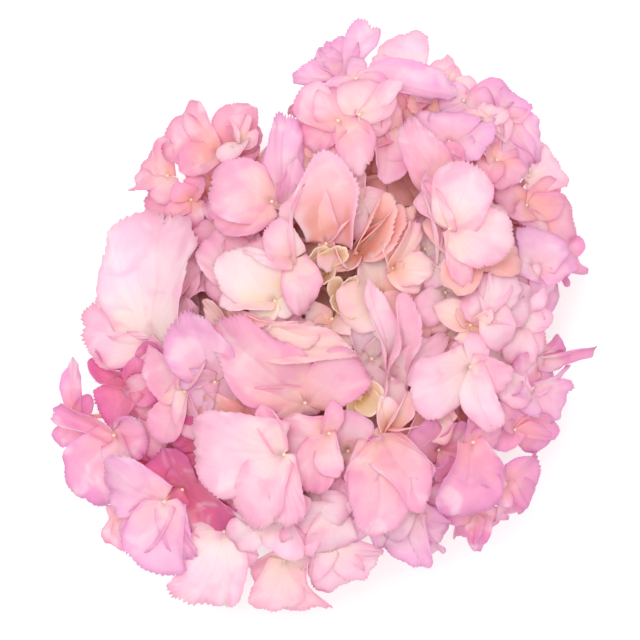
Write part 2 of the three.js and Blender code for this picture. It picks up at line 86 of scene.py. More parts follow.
def add_node(
    tree: bpy.types.NodeTree,
    kind: str,
    settings: dict[str, Any] | None = None,
    inputs: dict[str | int, Any] | None = None,
) -> bpy.types.Node:
    """Add one node to a tree.

    Args:
        tree: The shader or geometry tree.
        kind: The node's type name.
        settings: Properties of the node itself.
        inputs: For each input, by name or by place, the socket to link or the value to keep.

    Returns:
        The new node.
    """
    node = tree.nodes.new(kind)
    for name, value in (settings or {}).items():
        setattr(node, name, value)
    for key, value in (inputs or {}).items():
        if isinstance(value, Socket):
            tree.links.new(value, node.inputs[key])
        else:
            node.inputs[key].default_value = value
    return node


def new_tree(name: str, sockets: Iterable[tuple[str, str]]) -> tuple[bpy.types.NodeTree, bpy.types.Node]:
    """Start a geometry tree that takes a mesh and gives a mesh.

    Args:
        name: What the tree makes.
        sockets: Name and socket type of each input after the geometry.

    Returns:
        The tree and its Group Input node.
    """
    tree = bpy.data.node_groups.new(name, "GeometryNodeTree")
    tree.interface.new_socket("Geometry", in_out="INPUT", socket_type="NodeSocketGeometry")
    for label, kind in sockets:
        tree.interface.new_socket(label, in_out="INPUT", socket_type=kind)
    tree.interface.new_socket("Geometry", in_out="OUTPUT", socket_type="NodeSocketGeometry")
    return tree, tree.nodes.new("NodeGroupInput")


def read_facts(tree: bpy.types.NodeTree, kinds: dict[str, str]) -> dict[str, Socket]:
    """Read the facts that the seed points carry.

    Args:
        tree: The geometry tree.
        kinds: For each attribute, its data type.

    Returns:
        For each attribute, the socket that gives it.
    """
    facts = {}
    for key, kind in kinds.items():
        reader = add_node(tree, "GeometryNodeInputNamedAttribute", {"data_type": kind}, {"Name": key})
        facts[key] = reader.outputs[0]
    return facts


def finish_tree(tree: bpy.types.NodeTree, geometry: Socket, material: Socket) -> None:
    """End a geometry tree in smooth, real, dressed faces.

    Args:
        tree: The tree to end.
        geometry: Its last geometry.
        material: The material input.
    """
    real = add_node(tree, "GeometryNodeRealizeInstances", inputs={"Geometry": geometry})
    smooth = add_node(tree, "GeometryNodeSetShadeSmooth", inputs={"Geometry": real.outputs[0]})
    dressed = add_node(
        tree, "GeometryNodeSetMaterial", inputs={"Geometry": smooth.outputs[0], "Material": material}
    )
    add_node(tree, "NodeGroupOutput", inputs={"Geometry": dressed.outputs[0]})


def new_material(name: str) -> tuple[bpy.types.Material, bpy.types.NodeTree]:
    """Start a material with an empty tree."""
    made = bpy.data.materials.new(name)
    made.use_nodes = True
    made.node_tree.nodes.clear()
    return made, made.node_tree


def shifted(tree: bpy.types.NodeTree, value: Socket, cloud: Socket, size: float) -> Socket:
    """Move a value up and down by a soft cloud, so that no fade ends in a clean line.

    Args:
        tree: The material's tree.
        value: The value to move.
        cloud: Soft noise from 0 to 1.
        size: How far it moves in all.

    Returns:
        The moved value.
    """
    centred = add_node(tree, "ShaderNodeMath", {"operation": "SUBTRACT"}, {0: cloud, 1: 0.5})
    moved = add_node(
        tree, "ShaderNodeMath", {"operation": "MULTIPLY_ADD"}, {0: centred.outputs[0], 1: size, 2: value}
    )
    return moved.outputs[0]


def add_object(name: str, mesh: bpy.types.Mesh) -> bpy.types.Object:
    """Link a mesh to the scene as an object at the origin."""
    made = bpy.data.objects.new(name, mesh)
    bpy.context.scene.collection.objects.link(made)
    return made


def grow(
    name: str,
    seeds: bpy.types.Mesh,
    tree: bpy.types.NodeTree,
    values: dict[str, Any],
    thickness: float = 0.0,
) -> bpy.types.Object:
    """Run a geometry tree over seed points and keep the result as a plain mesh.

    Args:
        name: Name of the finished piece.
        seeds: The mesh whose points or edges the tree works on.
        tree: The geometry tree.
        values: A value for each named input.
        thickness: Wall given to open sheets, in metres, or none.

    Returns:
        The finished piece, at the origin, with no modifier.
    """
    carrier = add_object(name + "_seeds", seeds)
    modifier = carrier.modifiers.new("grow", "NODES")
    modifier.node_group = tree
    for item in tree.interface.items_tree:
        if item.item_type == "SOCKET" and item.in_out == "INPUT" and item.name in values:
            modifier[item.identifier] = values[item.name]
    if thickness:
        wall = carrier.modifiers.new("wall", "SOLIDIFY")
        wall.thickness = thickness
        wall.offset = 0.0
    shown = carrier.evaluated_get(bpy.context.evaluated_depsgraph_get())
    mesh = bpy.data.meshes.new_from_object(shown)
    carrier.modifiers.clear()
    bpy.data.objects.remove(carrier)
    mesh.name = name
    return add_object(name, mesh)


def seed_points(name: str, places: np.ndarray, facts: dict[str, tuple[str, np.ndarray]]) -> bpy.types.Mesh:
    """Make a mesh of loose points that carry facts for a geometry tree.

    Args:
        name: Name of the mesh.
        places: One row of x, y and z in metres for each point.
        facts: For each attribute, its data type and its values, one row a point.

    Returns:
        The mesh.
    """
    mesh = bpy.data.meshes.new(name)
    mesh.vertices.add(len(places))
    mesh.vertices.foreach_set("co", np.asarray(places, np.float32).ravel())
    for key, (kind, values) in facts.items():
        attribute = mesh.attributes.new(key, kind, "POINT")
        word = "vector" if kind == "FLOAT_VECTOR" else "value"
        attribute.data.foreach_set(word, np.asarray(values).ravel())
    mesh.update()
    return mesh


def ride_and_report(piece: bpy.types.Object, slot: str, *stands_for: str) -> None:
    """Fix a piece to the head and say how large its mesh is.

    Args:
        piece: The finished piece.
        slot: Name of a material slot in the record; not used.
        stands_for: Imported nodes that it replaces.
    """
    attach(piece, "root")
    if stands_for:
        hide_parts(*stands_for)
    piece.data.calc_loop_triangles()
    LOG.info("%s: %d triangles", piece.name, len(piece.data.loop_triangles))


# The colours that the sepals grow in


@dataclass(frozen=True)
class Shade:
    """Colours of one floret, as hex: at the foot of a sepal, over its blade, and along its rim."""

    foot: str
    blade: str
    rim: str


class Tone(Enum):
    """The shades of one head, from its pale middle to its mauve and magenta outer florets."""

    PALE = Shade("#fff2ec", "#fde7f0", "#fbcfe2")
    BLUSH = Shade("#fff0e6", "#fee8ed", "#facddf")
    PINK = Shade("#fee0d8", "#fcdae5", "#f7bfda")
    ROSE = Shade("#fcd0c8", "#facfdd", "#f3b8d4")
    LILAC = Shade("#fddee4", "#fad9eb", "#f2c0e3")
    ORCHID = Shade("#fbc8d2", "#f8c5dd", "#eeafd9")
    MAGENTA = Shade("#f7a9c0", "#f5a6ca", "#ea90c5")
    CRIMSON = Shade("#f18cac", "#ef86b5", "#e176b1")
    PEACH = Shade("#ffe0c8", "#ffefe6", "#ffdde2")
    DAWN = Shade("#f5bfaa", "#ffe8e6", "#fcdcea")
    CREAM = Shade("#fadc9c", "#fff0cc", "#fff0dc")
    IVORY = Shade("#fff5dc", "#fffaf4", "#ffeaee")
    SALMON = Shade("#ffd2bc", "#ffe2d6", "#ffdadc")
    # Coral: a deeper blade that is painted shade deep among the florets, and a paler rim that is a painted
    # highlight on their edges
    CORAL = Shade("#f2ae92", "#facdc0", "#fddad6")


# The forms that the blades take


@dataclass(frozen=True)
class Blade:
    """Form of one sepal, as shares of its length and width.

    The tip is an arc of this squareness, 2 for an ellipse; teeth are cut along it. Cup lifts the sides,
    arch lifts the middle, hook lifts the tip, and ripple waves the rim.
    """

    widest: float = 0.56
    square: float = 2.2
    notch: float = 0.0
    point: float = 0.0
    teeth: float = 0.06
    cup: float = 0.1
    arch: float = 0.09
    hook: float = 0.0
    ripple: float = 0.035
    skew: float = 0.0


class Form(Enum):
    """The blades that this head carries, from flat and open to folded along the midrib."""

    OPEN = Blade(cup=0.1, arch=0.12, ripple=0.05)
    BROAD = Blade(widest=0.58, square=2.35, cup=0.04, arch=0.13, ripple=0.055, teeth=0.065)
    HEART = Blade(widest=0.6, square=2.3, notch=0.05, cup=0.07, ripple=0.04)
    POINTED = Blade(widest=0.53, square=2.0, point=0.06, cup=0.15, ripple=0.03)
    CUPPED = Blade(cup=0.25, arch=-0.05, hook=0.08, ripple=0.03)
    HOOKED = Blade(cup=0.08, arch=0.17, hook=-0.15, ripple=0.04)
    FOLDED = Blade(cup=0.4, arch=0.02, ripple=0.03, skew=0.03)
    WAVED = Blade(widest=0.58, square=2.2, cup=0.02, ripple=0.06, teeth=0.07, skew=-0.04)


FORMS = list(Form)
# The forms that come up most, the three first ones also on the widest blades
ROUTINE_FORMS = [Form.OPEN, Form.BROAD, Form.HEART, Form.HOOKED, Form.WAVED, Form.CUPPED, Form.POINTED]


# Places of the florets, in millimetres, the same as in the solids

Row = tuple[str, Tone, Triple, tuple[Tip, ...]]
SHOWN_FLORETS: tuple[Row, ...] = (
    ("upper_left", Tone.BLUSH, (-10, 19, 104),
     ((-18, 31, 108, 12, 0), (-6, 43, 112, 9, -25), (-27, 23, 106, 12, 10), (-5, 1, 102, 12, 0))),
    ("upper_left", Tone.LILAC, (-13, 36, 98),
     ((-13, 70, 97, 13, 0), (-9, 53, 104, 8, 15), (-21, 29, 95, 10, 0), (-3, 37, 94, 9, 0))),
    ("upper_left", Tone.PINK, (-17, 38, 101),
     ((-37, 45, 102, 19, 0), (-38, 32, 99, 17, 0), (-22, 50, 99, 10, 0), (-9, 34, 94, 9, 0))),
    ("upper_left", Tone.ROSE, (-28, 57, 82),
     ((-29, 73, 78, 13, 0), (-36, 62, 80, 11, 0), (-19, 59, 83, 13, 0), (-24, 49, 88, 11, 0))),
    ("upper_left", Tone.BLUSH, (-28, 58, 89),
     ((-32, 67, 92, 6, 50), (-27, 68, 91, 6, -50), (-31, 51, 95, 9, 0), (-22, 56, 91, 7, 0))),
    ("upper_left", Tone.ROSE, (-35, 55, 86),
     ((-44, 73, 77, 10, 0), (-52, 60, 77, 17, 0), (-45, 47, 92, 14, 0), (-31, 49, 92, 10, 0))),
    ("upper_left", Tone.ROSE, (-52, 47, 80),
     ((-63, 45, 68, 12, 0), (-57, 54, 70, 10, 0), (-53, 58, 80, 8, 40), (-54, 37, 82, 11, 0))),
    ("upper_left", Tone.ROSE, (-44, 39, 87),
     ((-60, 36, 73, 14, 0), (-47, 29, 85, 12, 0), (-48, 45, 93, 8, 0), (-39, 47, 92, 8, 0))),
    ("upper_left", Tone.PALE, (-57, -10, 82),
     ((-52, 35, 87, 33, 0), (-82, -4, 66, 19, 0), (-76, -11, 64, 11, 0), (-50, -16, 84, 9, 0))),
    ("upper_left", Tone.BLUSH, (-62, 10, 66),
     ((-74, 16, 56, 13, 0), (-65, 25, 59, 12, 0), (-77, 3, 58, 13, 0), (-62, -8, 66, 12, 0))),
    ("upper_left", Tone.DAWN, (1, 24, 99),
     ((3, 55, 113, 21, 0), (-6, 45, 104, 10, 0), (15, 35, 105, 6, -50), (8, 13, 96, 8, 30))),
    # This floret is near white partly by its own pale colour and partly as a painted highlight where light
    # catches it
    ("upper_left", Tone.IVORY, (-16, 5, 101),
     ((-30, 21, 104, 18, 0), (-33, 3, 102, 8, 20), (-10, 2, 101, 6, 0), (-22, -5, 98, 8, 0))),
    ("upper_left", Tone.PINK, (-24, 11, 96),
     ((-40, 26, 98, 17, 0), (-27, 29, 98, 12, 0), (-38, 9, 95, 12, 0), (-13, 15, 97, 9, 0))),
    ("upper_left", Tone.CREAM, (-1, 14, 91),
     ((-4, 22, 102, 9, 0), (7, 23, 103, 7, 0), (2, 7, 101, 9, 0), (-6, 10, 101, 8, 0))),
    ("upper_left", Tone.CREAM, (8, 4, 90),
     ((5, 11, 100, 6, 0), (11, 13, 101, 5, 0), (10, -1, 100, 6, 0), (4, 1, 99, 6, 0))),
    ("upper_right", Tone.PINK, (5, 65, 97),
     ((-10, 73, 96, 16, 0), (15, 48, 102, 14, 0), (-5, 57, 97, 13, 0), (2, 77, 95, 13, 0))),
    ("upper_right", Tone.LILAC, (7, 79, 82),
     ((15, 100, 68, 10, 0), (4, 95, 69, 14, 0), (-3, 90, 72, 10, 0), (-12, 83, 74, 12, 0))),
    ("upper_right", Tone.PALE, (29, 79, 76),
     ((27, 95, 65, 18, 0), (38, 85, 68, 12, 0), (17, 84, 78, 12, 0), (36, 72, 80, 12, 0))),
    ("upper_right", Tone.LILAC, (11, 79, 90),
     ((45, 76, 82, 11, 15), (24, 72, 92, 10, 0), (9, 88, 82, 9, 0), (2, 72, 92, 9, 0))),
    ("upper_right", Tone.BLUSH, (12, 67, 97),
     ((12, 81, 94, 14, 0), (24, 71, 97, 13, 0), (28, 78, 95, 7, 25), (19, 60, 97, 9, 0))),
    ("upper_right", Tone.BLUSH, (42, 78, 70),
     ((41, 88, 60, 8, 0), (47, 83, 62, 8, 0), (36, 82, 72, 8, 0), (50, 74, 76, 9, 0))),
    ("upper_right", Tone.SALMON, (34, 68, 80),
     ((46, 71, 80, 14, 0), (27, 71, 84, 12, 0), (36, 60, 84, 12, 0), (39, 76, 76, 10, 0))),
    ("upper_right", Tone.LILAC, (47, 72, 80),
     ((64, 74, 70, 10, 0), (56, 69, 80, 12, 0), (44, 66, 88, 11, 0), (38, 75, 82, 11, 0))),
    ("upper_right", Tone.PINK, (21, 61, 93),
     ((23, 46, 101, 11, 0), (19, 73, 94, 9, 0), (12, 56, 96, 9, 0), (27, 54, 97, 8, 20))),
    ("upper_right", Tone.PINK, (39, 43, 98),
     ((27, 64, 101, 14, 0), (44, 56, 98, 11, 0), (33, 36, 96, 10, 0), (50, 40, 98, 11, 0))),
    ("upper_right", Tone.LILAC, (42, 58, 93),
     ((31, 65, 95, 14, 0), (45, 69, 92, 12, 0), (56, 54, 97, 15, 0), (43, 48, 99, 13, 0))),
    ("upper_right", Tone.BLUSH, (52, 66, 88),
     ((44, 70, 86, 8, 0), (58, 71, 82, 11, 0), (62, 60, 86, 10, 0), (52, 56, 90, 10, 0))),
    ("upper_right", Tone.LILAC, (61, 66, 82),
     ((66, 73, 72, 12, 0), (75, 56, 70, 14, 0), (67, 46, 80, 12, 0), (54, 62, 88, 10, 0))),
    ("upper_right", Tone.ROSE, (58, 52, 88),
     ((52, 61, 92, 10, 0), (64, 58, 84, 10, 0), (64, 42, 88, 14, 0), (56, 44, 94, 11, 0))),
    ("right", Tone.BLUSH, (42, 29, 107),
     ((50, 51, 109, 17, 0), (62, 21, 104, 22, 0), (48, 8, 103, 9, 25), (35, 43, 108, 7, 40))),
    ("right", Tone.PALE, (38, 18, 98),
     ((35, 46, 107, 8, 35), (42, 30, 103, 7, 0), (33, 9, 98, 7, 0), (47, 14, 98, 9, 0))),
    ("right", Tone.PALE, (69, 47, 76),
     ((82, 51, 62, 17, 0), (75, 57, 66, 10, 0), (64, 52, 80, 10, 0), (72, 41, 74, 11, 0))),
    ("right", Tone.ROSE, (68, 37, 80),
     ((83, 43, 65, 13, 0), (86, 30, 66, 14, 0), (58, 36, 88, 13, 0), (66, 29, 84, 12, 0))),
    ("right", Tone.LILAC, (71, 16, 84),
     ((72, 30, 84, 19, 0), (84, 22, 72, 15, 0), (73, 4, 77, 15, 0), (61, 19, 91, 14, 0))),
    ("right", Tone.ORCHID, (79, 17, 68),
     ((86, 18, 57, 11, 0), (83, 28, 62, 9, 0), (80, 10, 62, 9, 0), (72, 12, 76, 9, 0))),
    ("right", Tone.PALE, (55, 1, 95),
     ((61, 13, 93, 15, 0), (46, 10, 99, 14, 0), (70, 3, 86, 14, 0), (61, -12, 94, 14, 0))),
    ("right", Tone.PALE, (66, -3, 86),
     ((75, -7, 78, 14, 0), (76, 3, 76, 10, 0), (66, -17, 86, 14, 0), (58, -3, 93, 11, 0))),
    ("right", Tone.PEACH, (49, -3, 96),
     ((36, 4, 100, 9, 5), (43, 5, 99, 8, 10), (55, 2, 99, 9, 5), (47, -11, 97, 11, 0))),
    # This fan deep in the middle is coral partly by its own colour: its blades carry painted shade and its
    # rims a painted highlight
    ("right", Tone.CORAL, (11, 21, 96),
     ((23, 43, 106, 8, 20), (28, 38, 104, 8, 25), (33, 37, 102, 10, 20), (5, 12, 97, 7, 0))),
    ("right", Tone.PEACH, (23, 16, 96),
     ((32, 33, 105, 10, 15), (36, 15, 102, 12, -15), (31, 8, 99, 8, 20), (21, 27, 104, 6, 30))),
    ("right", Tone.PALE, (23, -21, 91),
     ((15, 12, 102, 9, 15), (26, 8, 103, 9, 10), (41, -7, 99, 14, 0), (18, -33, 93, 9, 0))),
    ("lower_right", Tone.PALE, (49, -17, 96),
     ((27, -26, 105, 20, 0), (57, -39, 94, 11, 0), (62, -22, 92, 10, 0), (50, -6, 98, 11, 0))),
    ("lower_right", Tone.ORCHID, (72, -14, 80),
     ((92, -9, 63, 6, 20), (78, -6, 70, 8, 0), (80, -14, 68, 7, 0), (64, -20, 86, 12, 0))),
    ("lower_right", Tone.LILAC, (70, -24, 80),
     ((82, -20, 66, 10, 0), (82, -31, 66, 13, 0), (64, -32, 84, 14, 0), (74, -15, 76, 13, 0))),
    ("lower_right", Tone.ORCHID, (64, -38, 80),
     ((81, -37, 66, 10, 0), (58, -30, 86, 10, 0), (57, -45, 84, 10, 0), (77, -44, 68, 11, 0))),
    ("lower_right", Tone.ORCHID, (50, -42, 92),
     ((44, -67, 88, 19, 0), (58, -58, 86, 12, 0), (61, -38, 88, 10, 0), (52, -31, 96, 9, 0))),
    ("lower_right", Tone.ORCHID, (61, -56, 78),
     ((74, -50, 70, 14, 0), (69, -63, 65, 12, 0), (61, -68, 66, 11, 0), (52, -62, 82, 12, 0))),
    ("lower_right", Tone.ORCHID, (50, -66, 74),
     ((58, -70, 64, 12, 0), (53, -77, 62, 8, 0), (45, -74, 64, 9, 0), (42, -66, 80, 10, 0))),
    ("lower_right", Tone.PEACH, (36, -32, 88),
     ((28, -43, 93, 8, 20), (43, -41, 91, 11, 0), (47, -33, 92, 8, 0), (30, -27, 92, 8, 0))),
    ("bottom", Tone.PEACH, (22, -37, 92),
     ((16, -27, 98, 8, 0), (27, -25, 99, 7, 30), (14, -42, 96, 8, 20), (33, -37, 95, 8, 30))),
    ("bottom", Tone.PINK, (19, -40, 94),
     ((37, -50, 99, 11, 20), (35, -64, 98, 15, 0), (16, -75, 97, 20, 0), (8, -58, 100, 10, 20))),
    ("bottom", Tone.LILAC, (31, -65, 86),
     ((26, -83, 72, 16, 0), (41, -74, 74, 13, 0), (37, -78, 66, 8, 0), (18, -73, 84, 10, 0))),
    ("bottom", Tone.PALE, (4, -77, 80),
     ((17, -86, 70, 13, 0), (4, -90, 66, 14, 0), (-8, -83, 74, 13, 0), (9, -68, 86, 12, 0))),
    ("bottom", Tone.PALE, (3, -64, 90),
     ((-12, -66, 92, 12, 0), (-14, -78, 85, 15, 0), (2, -81, 82, 14, 0), (6, -53, 94, 11, 0))),
    ("bottom", Tone.BLUSH, (-13, -82, 70),
     ((-19, -100, 56, 18, 0), (-3, -99, 56, 17, 0), (-25, -87, 64, 13, 0), (-6, -74, 78, 13, 0))),
    ("bottom", Tone.CREAM, (12, -27, 91),
     ((8, -22, 98, 8, 0), (17, -23, 98, 8, 0), (16, -32, 98, 8, 0), (7, -32, 98, 8, 0))),
    ("lower_left", Tone.PALE, (-13, -46, 103),
     ((-45, -42, 101, 27, 0), (-26, -70, 99, 16, 10), (-11, -71, 102, 13, 15), (-21, -30, 104, 7, 20))),
    ("lower_left", Tone.PINK, (2, -39, 99),
     ((-15, -41, 99, 17, 0), (-4, -57, 98, 14, 0), (6, -53, 104, 9, 30), (3, -29, 105, 8, 30))),
    # This low floret is crimson partly by its own colour and partly as painted shade, for it lies deep below
    # its neighbours
    ("lower_left", Tone.CRIMSON, (-47, -58, 82),
     ((-53, -41, 87, 15, 0), (-27, -72, 85, 19, 0), (-42, -49, 86, 14, 0), (-54, -64, 80, 9, 0))),
    ("lower_left", Tone.PALE, (-33, -72, 81),
     ((-42, -99, 66, 25, 0), (-24, -84, 76, 13, 0), (-44, -62, 82, 12, 0), (-24, -66, 84, 11, 0))),
    ("lower_left", Tone.LILAC, (-53, -62, 84),
     ((-73, -51, 78, 20, 0), (-63, -77, 76, 12, 0), (-57, -85, 76, 17, 0), (-45, -79, 80, 10, 0))),
    ("lower_left", Tone.PINK, (-66, -67, 62),
     ((-75, -62, 54, 10, 0), (-72, -75, 54, 10, 0), (-61, -78, 58, 10, 0), (-56, -58, 68, 12, 0))),
    ("lower_left", Tone.ORCHID, (-70, -40, 76),
     ((-81, -61, 64, 17, 0), (-57, -38, 82, 13, 0), (-63, -50, 80, 12, 0), (-92, -31, 62, 6, 10))),
    ("lower_left", Tone.MAGENTA, (-64, -24, 79),
     ((-74, -36, 74, 14, 0), (-80, -14, 70, 7, 0), (-63, -14, 84, 6, 20), (-57, -28, 84, 9, 0))),
    ("lower_left", Tone.ORCHID, (-84, -34, 60),
     ((-87, -13, 66, 7, 0), (-78, -28, 64, 8, 0), (-76, -40, 62, 8, 0), (-89, -46, 56, 9, 0))),
    ("lower_left", Tone.PINK, (-46, -25, 91),
     ((-60, -14, 86, 16, 0), (-53, -40, 88, 14, 0), (-42, -41, 90, 8, 0), (-43, -9, 94, 9, 0))),
    ("lower_left", Tone.LILAC, (-36, -22, 94),
     ((-44, 2, 99, 18, 0), (-25, -32, 93, 10, 0), (-40, -36, 90, 9, 0), (-49, -18, 92, 10, 0))),
    ("lower_left", Tone.PINK, (-6, -29, 96),
     ((-37, -1, 101, 24, 0), (12, -16, 99, 17, 0), (-28, -28, 98, 14, 0), (-7, -36, 93, 9, 0))),
    ("lower_left", Tone.PEACH, (-32, -3, 97),
     ((-1, -6, 102, 11, 0), (10, -14, 101, 13, -10), (-13, 1, 101, 6, 30), (-39, 4, 95, 8, 0))),
    ("lower_left", Tone.PEACH, (3, -1, 93),
     ((9, -6, 100, 8, -20), (-3, -12, 98, 9, 0), (5, -13, 97, 9, 0), (-7, 0, 96, 7, 0))),
)

# Florets deep between the shown ones: eye and length of a sepal in millimetres, and roll in degrees
DEEP_FLORETS = ((-34, 26, 80, 21, 5), (28, 37, 80, 21, 30))


@dataclass(frozen=True)
class Ring:
    """Florets set round the head below the shown ones.

    Their count, the height of their eyes in millimetres, their place as a share of the head's reach, how far
    they lean down in degrees, and the length of a sepal in millimetres.
    """

    count: int
    height: float
    share: float
    lean: float
    length: float


# Rings that the solids have too, then rings that only fill in between them
RINGS = (Ring(9, 42, 0.78, 8, 25), Ring(7, 12, 0.6, 46, 25))
FILLING_RINGS = (Ring(8, 60, 0.72, 0, 20), Ring(9, 26, 0.66, 22, 20))


@dataclass(frozen=True)
class Layer:
    """Florets that fill in below the shown ones.

    The grid that they are tried on, the space kept from shown sepals and from each other, their drop below
    the shown ones and the length of a sepal, in millimetres. Share is how much of the head's reach they fill.
    """

    grid: float
    least: float
    apart: float
    drop: float
    length: float
    share: float


LAYERS = (Layer(7.5, 4.0, 8.5, 8.0, 15.0, 0.92), Layer(13.0, 0.0, 12.0, 24.0, 19.0, 0.8))

# Reach of the head in millimetres, by bearing in degrees
REACH = (
    (0, 73), (30, 86), (60, 80), (90, 78), (109, 50), (125, 70), (145, 66), (165, 68),
    (188, 70), (215, 85), (250, 87), (280, 80), (310, 79), (335, 80), (360, 73),
)  # fmt: skip

# First fork of each spray in millimetres, and the bearing of its middle in degrees
FORKS: dict[str, tuple[Triple, float]] = {
    "upper_left": ((-24, 24, 58), 148),
    "lower_left": ((-28, -26, 58), 216),
    "right": ((38, 14, 58), 12),
    "upper_right": ((18, 42, 56), 68),
    "lower_right": ((34, -22, 56), -32),
    "bottom": ((8, -42, 54), -84),
}


# How the head grows


@dataclass
class Sepal:
    """One sepal: its tip in metres, width in metres, turn about its own length in radians, and form."""

    tip: Vector
    width: float
    turn: float = 0.0
    form: Form = Form.OPEN


@dataclass
class Floret:
    """One floret: the spray that bears it, its eye in metres, its shade and its sepals.

    Facing is the way that a hidden one looks; a shown one looks away from the core of the head.
    """

    spray: str
    eye: Vector
    tone: Tone
    sepals: list[Sepal]
    facing: Vector | None = None

    @property
    def shown(self) -> bool:
        """Whether it was set one by one in the listed rows."""
        return self.facing is None


@dataclass
class HeadPlan:
    """Where every floret grows. It follows the same rows, rings and seeded draws as the solids.

    Shown florets face away from the core. A hidden one that is sunk and near the middle takes the coral tone,
    painted shade of the depths between florets. Blades are a little wider than their rows say, and narrow
    ones turn more loosely.
    """

    core: Triple = (0, 0, -20)
    seed: int = 57
    form_seed: int = 11
    sunk_from: float = 10.0
    inner_height: float = 50.0
    inner_reach: float = 55.0
    fullness: float = 1.14
    loose_turn: float = 0.45
    limp_width: float = 9.0
    narrow_width: float = 9.5
    wide_width: float = 17.0
    wide_forms: int = 3
    folded_share: float = 0.4
    half_width: float = 110.0
    state: int = field(default=0, init=False)

    def draw(self) -> float:
        """Give the next seeded number from 0 to 1, the same as in the solids."""
        self.state = (self.state * 16807) % 2147483647
        return self.state / 2147483647

    def florets(self) -> list[Floret]:
        """Lay out the shown florets, the rings and the deep ones, then those that only fill gaps."""
        self.state = self.seed
        shown = self.shown_florets()
        hidden = self.ring_florets(RINGS) + self.deep_florets()
        hidden += self.gap_florets(shown) + self.ring_florets(FILLING_RINGS)
        for floret in hidden:
            nearest = min(shown, key=lambda other: (other.eye - floret.eye).xy.length)
            # A hidden floret sunk below its nearest shown one, near the middle, takes the coral tone as
            # painted shade of the depths there
            sunk = nearest.eye.z - floret.eye.z > self.sunk_from * MM
            inner = floret.eye.z > self.inner_height * MM and floret.eye.xy.length < self.inner_reach * MM
            floret.tone = Tone.CORAL if sunk and inner else nearest.tone
            if floret.tone in (Tone.CREAM, Tone.DAWN):
                floret.tone = Tone.BLUSH
        return shown + hidden

    def shown_florets(self) -> list[Floret]:
        """Read the listed rows, and choose a form for each sepal."""
        florets = []
        for number, (spray, tone, eye, tips) in enumerate(SHOWN_FLORETS):
            pick = np.random.default_rng((self.form_seed, number))
            sepals = []
            for x, y, z, width, turn in tips:
                choices = len(ROUTINE_FORMS) if width < self.wide_width else self.wide_forms
                form = ROUTINE_FORMS[pick.integers(choices)]
                if tone is Tone.CREAM or (tone is Tone.DAWN and width > 12):
                    form = Form.CUPPED
                elif width < self.narrow_width:
                    form = Form.FOLDED if pick.random() < self.folded_share else Form.POINTED
                play = 2 * self.loose_turn * min(1, self.limp_width / width)
                loose = math.radians(turn) + (pick.random() - 0.5) * play
                sepals.append(Sepal(Vector((x, y, z)) * MM, width * self.fullness * MM, loose, form))
            florets.append(Floret(spray, Vector(eye) * MM, tone, sepals))
        return florets

    def facing_floret(self, spray: str, eye: Vector, facing: Vector, roll: float, length: float) -> Floret:
        """Set a hidden floret by its facing: four sepals a quarter turn apart, a little lifted.

        Args:
            spray: The spray that bears it.
            eye: Its eye in millimetres.
            facing: Unit direction that it faces.
            roll: Turn about that direction, in radians.
            length: Length of a sepal in millimetres.

        Returns:
            The floret.
        """
        side = Vector((0, 0, 1)).cross(facing).normalized()
        up = facing.cross(side)
        sepals = []
        for k in range(4):
            # Each sepal strays a little from its quarter, and has its own length, lift and width
            angle = roll + k * math.pi / 2 + (self.draw() - 0.5) * 0.3
            reach = length * (0.9 + 0.2 * self.draw())
            lift = reach * (0.05 + 0.3 * self.draw())
            tip = eye + side * (math.cos(angle) * reach) + up * (math.sin(angle) * reach) + facing * lift
            width = reach * (0.8 + 0.2 * self.draw())
            form = ROUTINE_FORMS[(k + int(roll * 10)) % len(ROUTINE_FORMS)]
            sepals.append(Sepal(tip * MM, width * MM, 0.0, form))
        return Floret(spray, eye * MM, Tone.PINK, sepals, facing)

    def ring_florets(self, rings: tuple[Ring, ...]) -> list[Floret]:
        """Set rings of florets round the head, below the shown ones.

        Args:
            rings: The rings, the highest first.

        Returns:
            Their florets.
        """
        florets = []
        for row, ring in enumerate(rings):
            for i in range(ring.count):
                # Rings stand half a place apart, and each floret strays a little in place, height and lean
                bearing = (i + 0.5 * row + 0.2 * self.draw()) * 360 / ring.count
                angle = math.radians(bearing)
                radius = reach_at(bearing) * ring.share
                height = ring.height + (self.draw() - 0.5) * 6
                eye = Vector((math.cos(angle) * radius, math.sin(angle) * radius, height))
                lean = math.radians(ring.lean + (self.draw() - 0.5) * 16)
                outward = Vector((math.cos(angle), math.sin(angle), 0)) * math.cos(lean)
                facing = outward - Vector((0, 0, math.sin(lean)))
                roll = self.draw() * 1.5
                florets.append(self.facing_floret(spray_at(bearing), eye, facing, roll, ring.length))
        return florets

    def deep_florets(self) -> list[Floret]:
        """Set the florets deep between the shown ones."""
        florets = []
        for x, y, z, length, roll in DEEP_FLORETS:
            facing = Vector((x, y, 2 * z)).normalized()
            spray = spray_at(math.degrees(math.atan2(y, x)))
            florets.append(self.facing_floret(spray, Vector((x, y, z)), facing, math.radians(roll), length))
        return florets

    def gap_florets(self, shown: list[Floret]) -> list[Floret]:
        """Fill the gaps between the shown florets, and close the depths below them.

        Args:
            shown: The florets set one by one in the listed rows.

        Returns:
            The florets of every layer, facing out from the core.
        """
        marks = []
        for floret in shown:
            eye = floret.eye / MM
            marks.append(eye)
            for sepal in floret.sepals:
                marks += [eye.lerp(sepal.tip / MM, share) for share in (0.35, 0.65, 0.95)]
        cloud = np.array(marks)
        florets: list[Floret] = []
        for layer in LAYERS:
            own = self.layer_florets(layer, cloud)
            LOG.info("florets %.0f mm below the shown ones: %d", layer.drop, len(own))
            florets += own
        return florets

    def layer_florets(self, layer: Layer, cloud: np.ndarray) -> list[Floret]:
        """Set the florets of one layer on a loose grid, wherever no shown one is near.

        Args:
            layer: The layer.
            cloud: Points on the shown sepals, in millimetres.

        Returns:
            Its florets.
        """
        steps = int(self.half_width / layer.grid)
        florets: list[Floret] = []
        for row in range(-steps, steps + 1):
            for column in range(-steps, steps + 1):
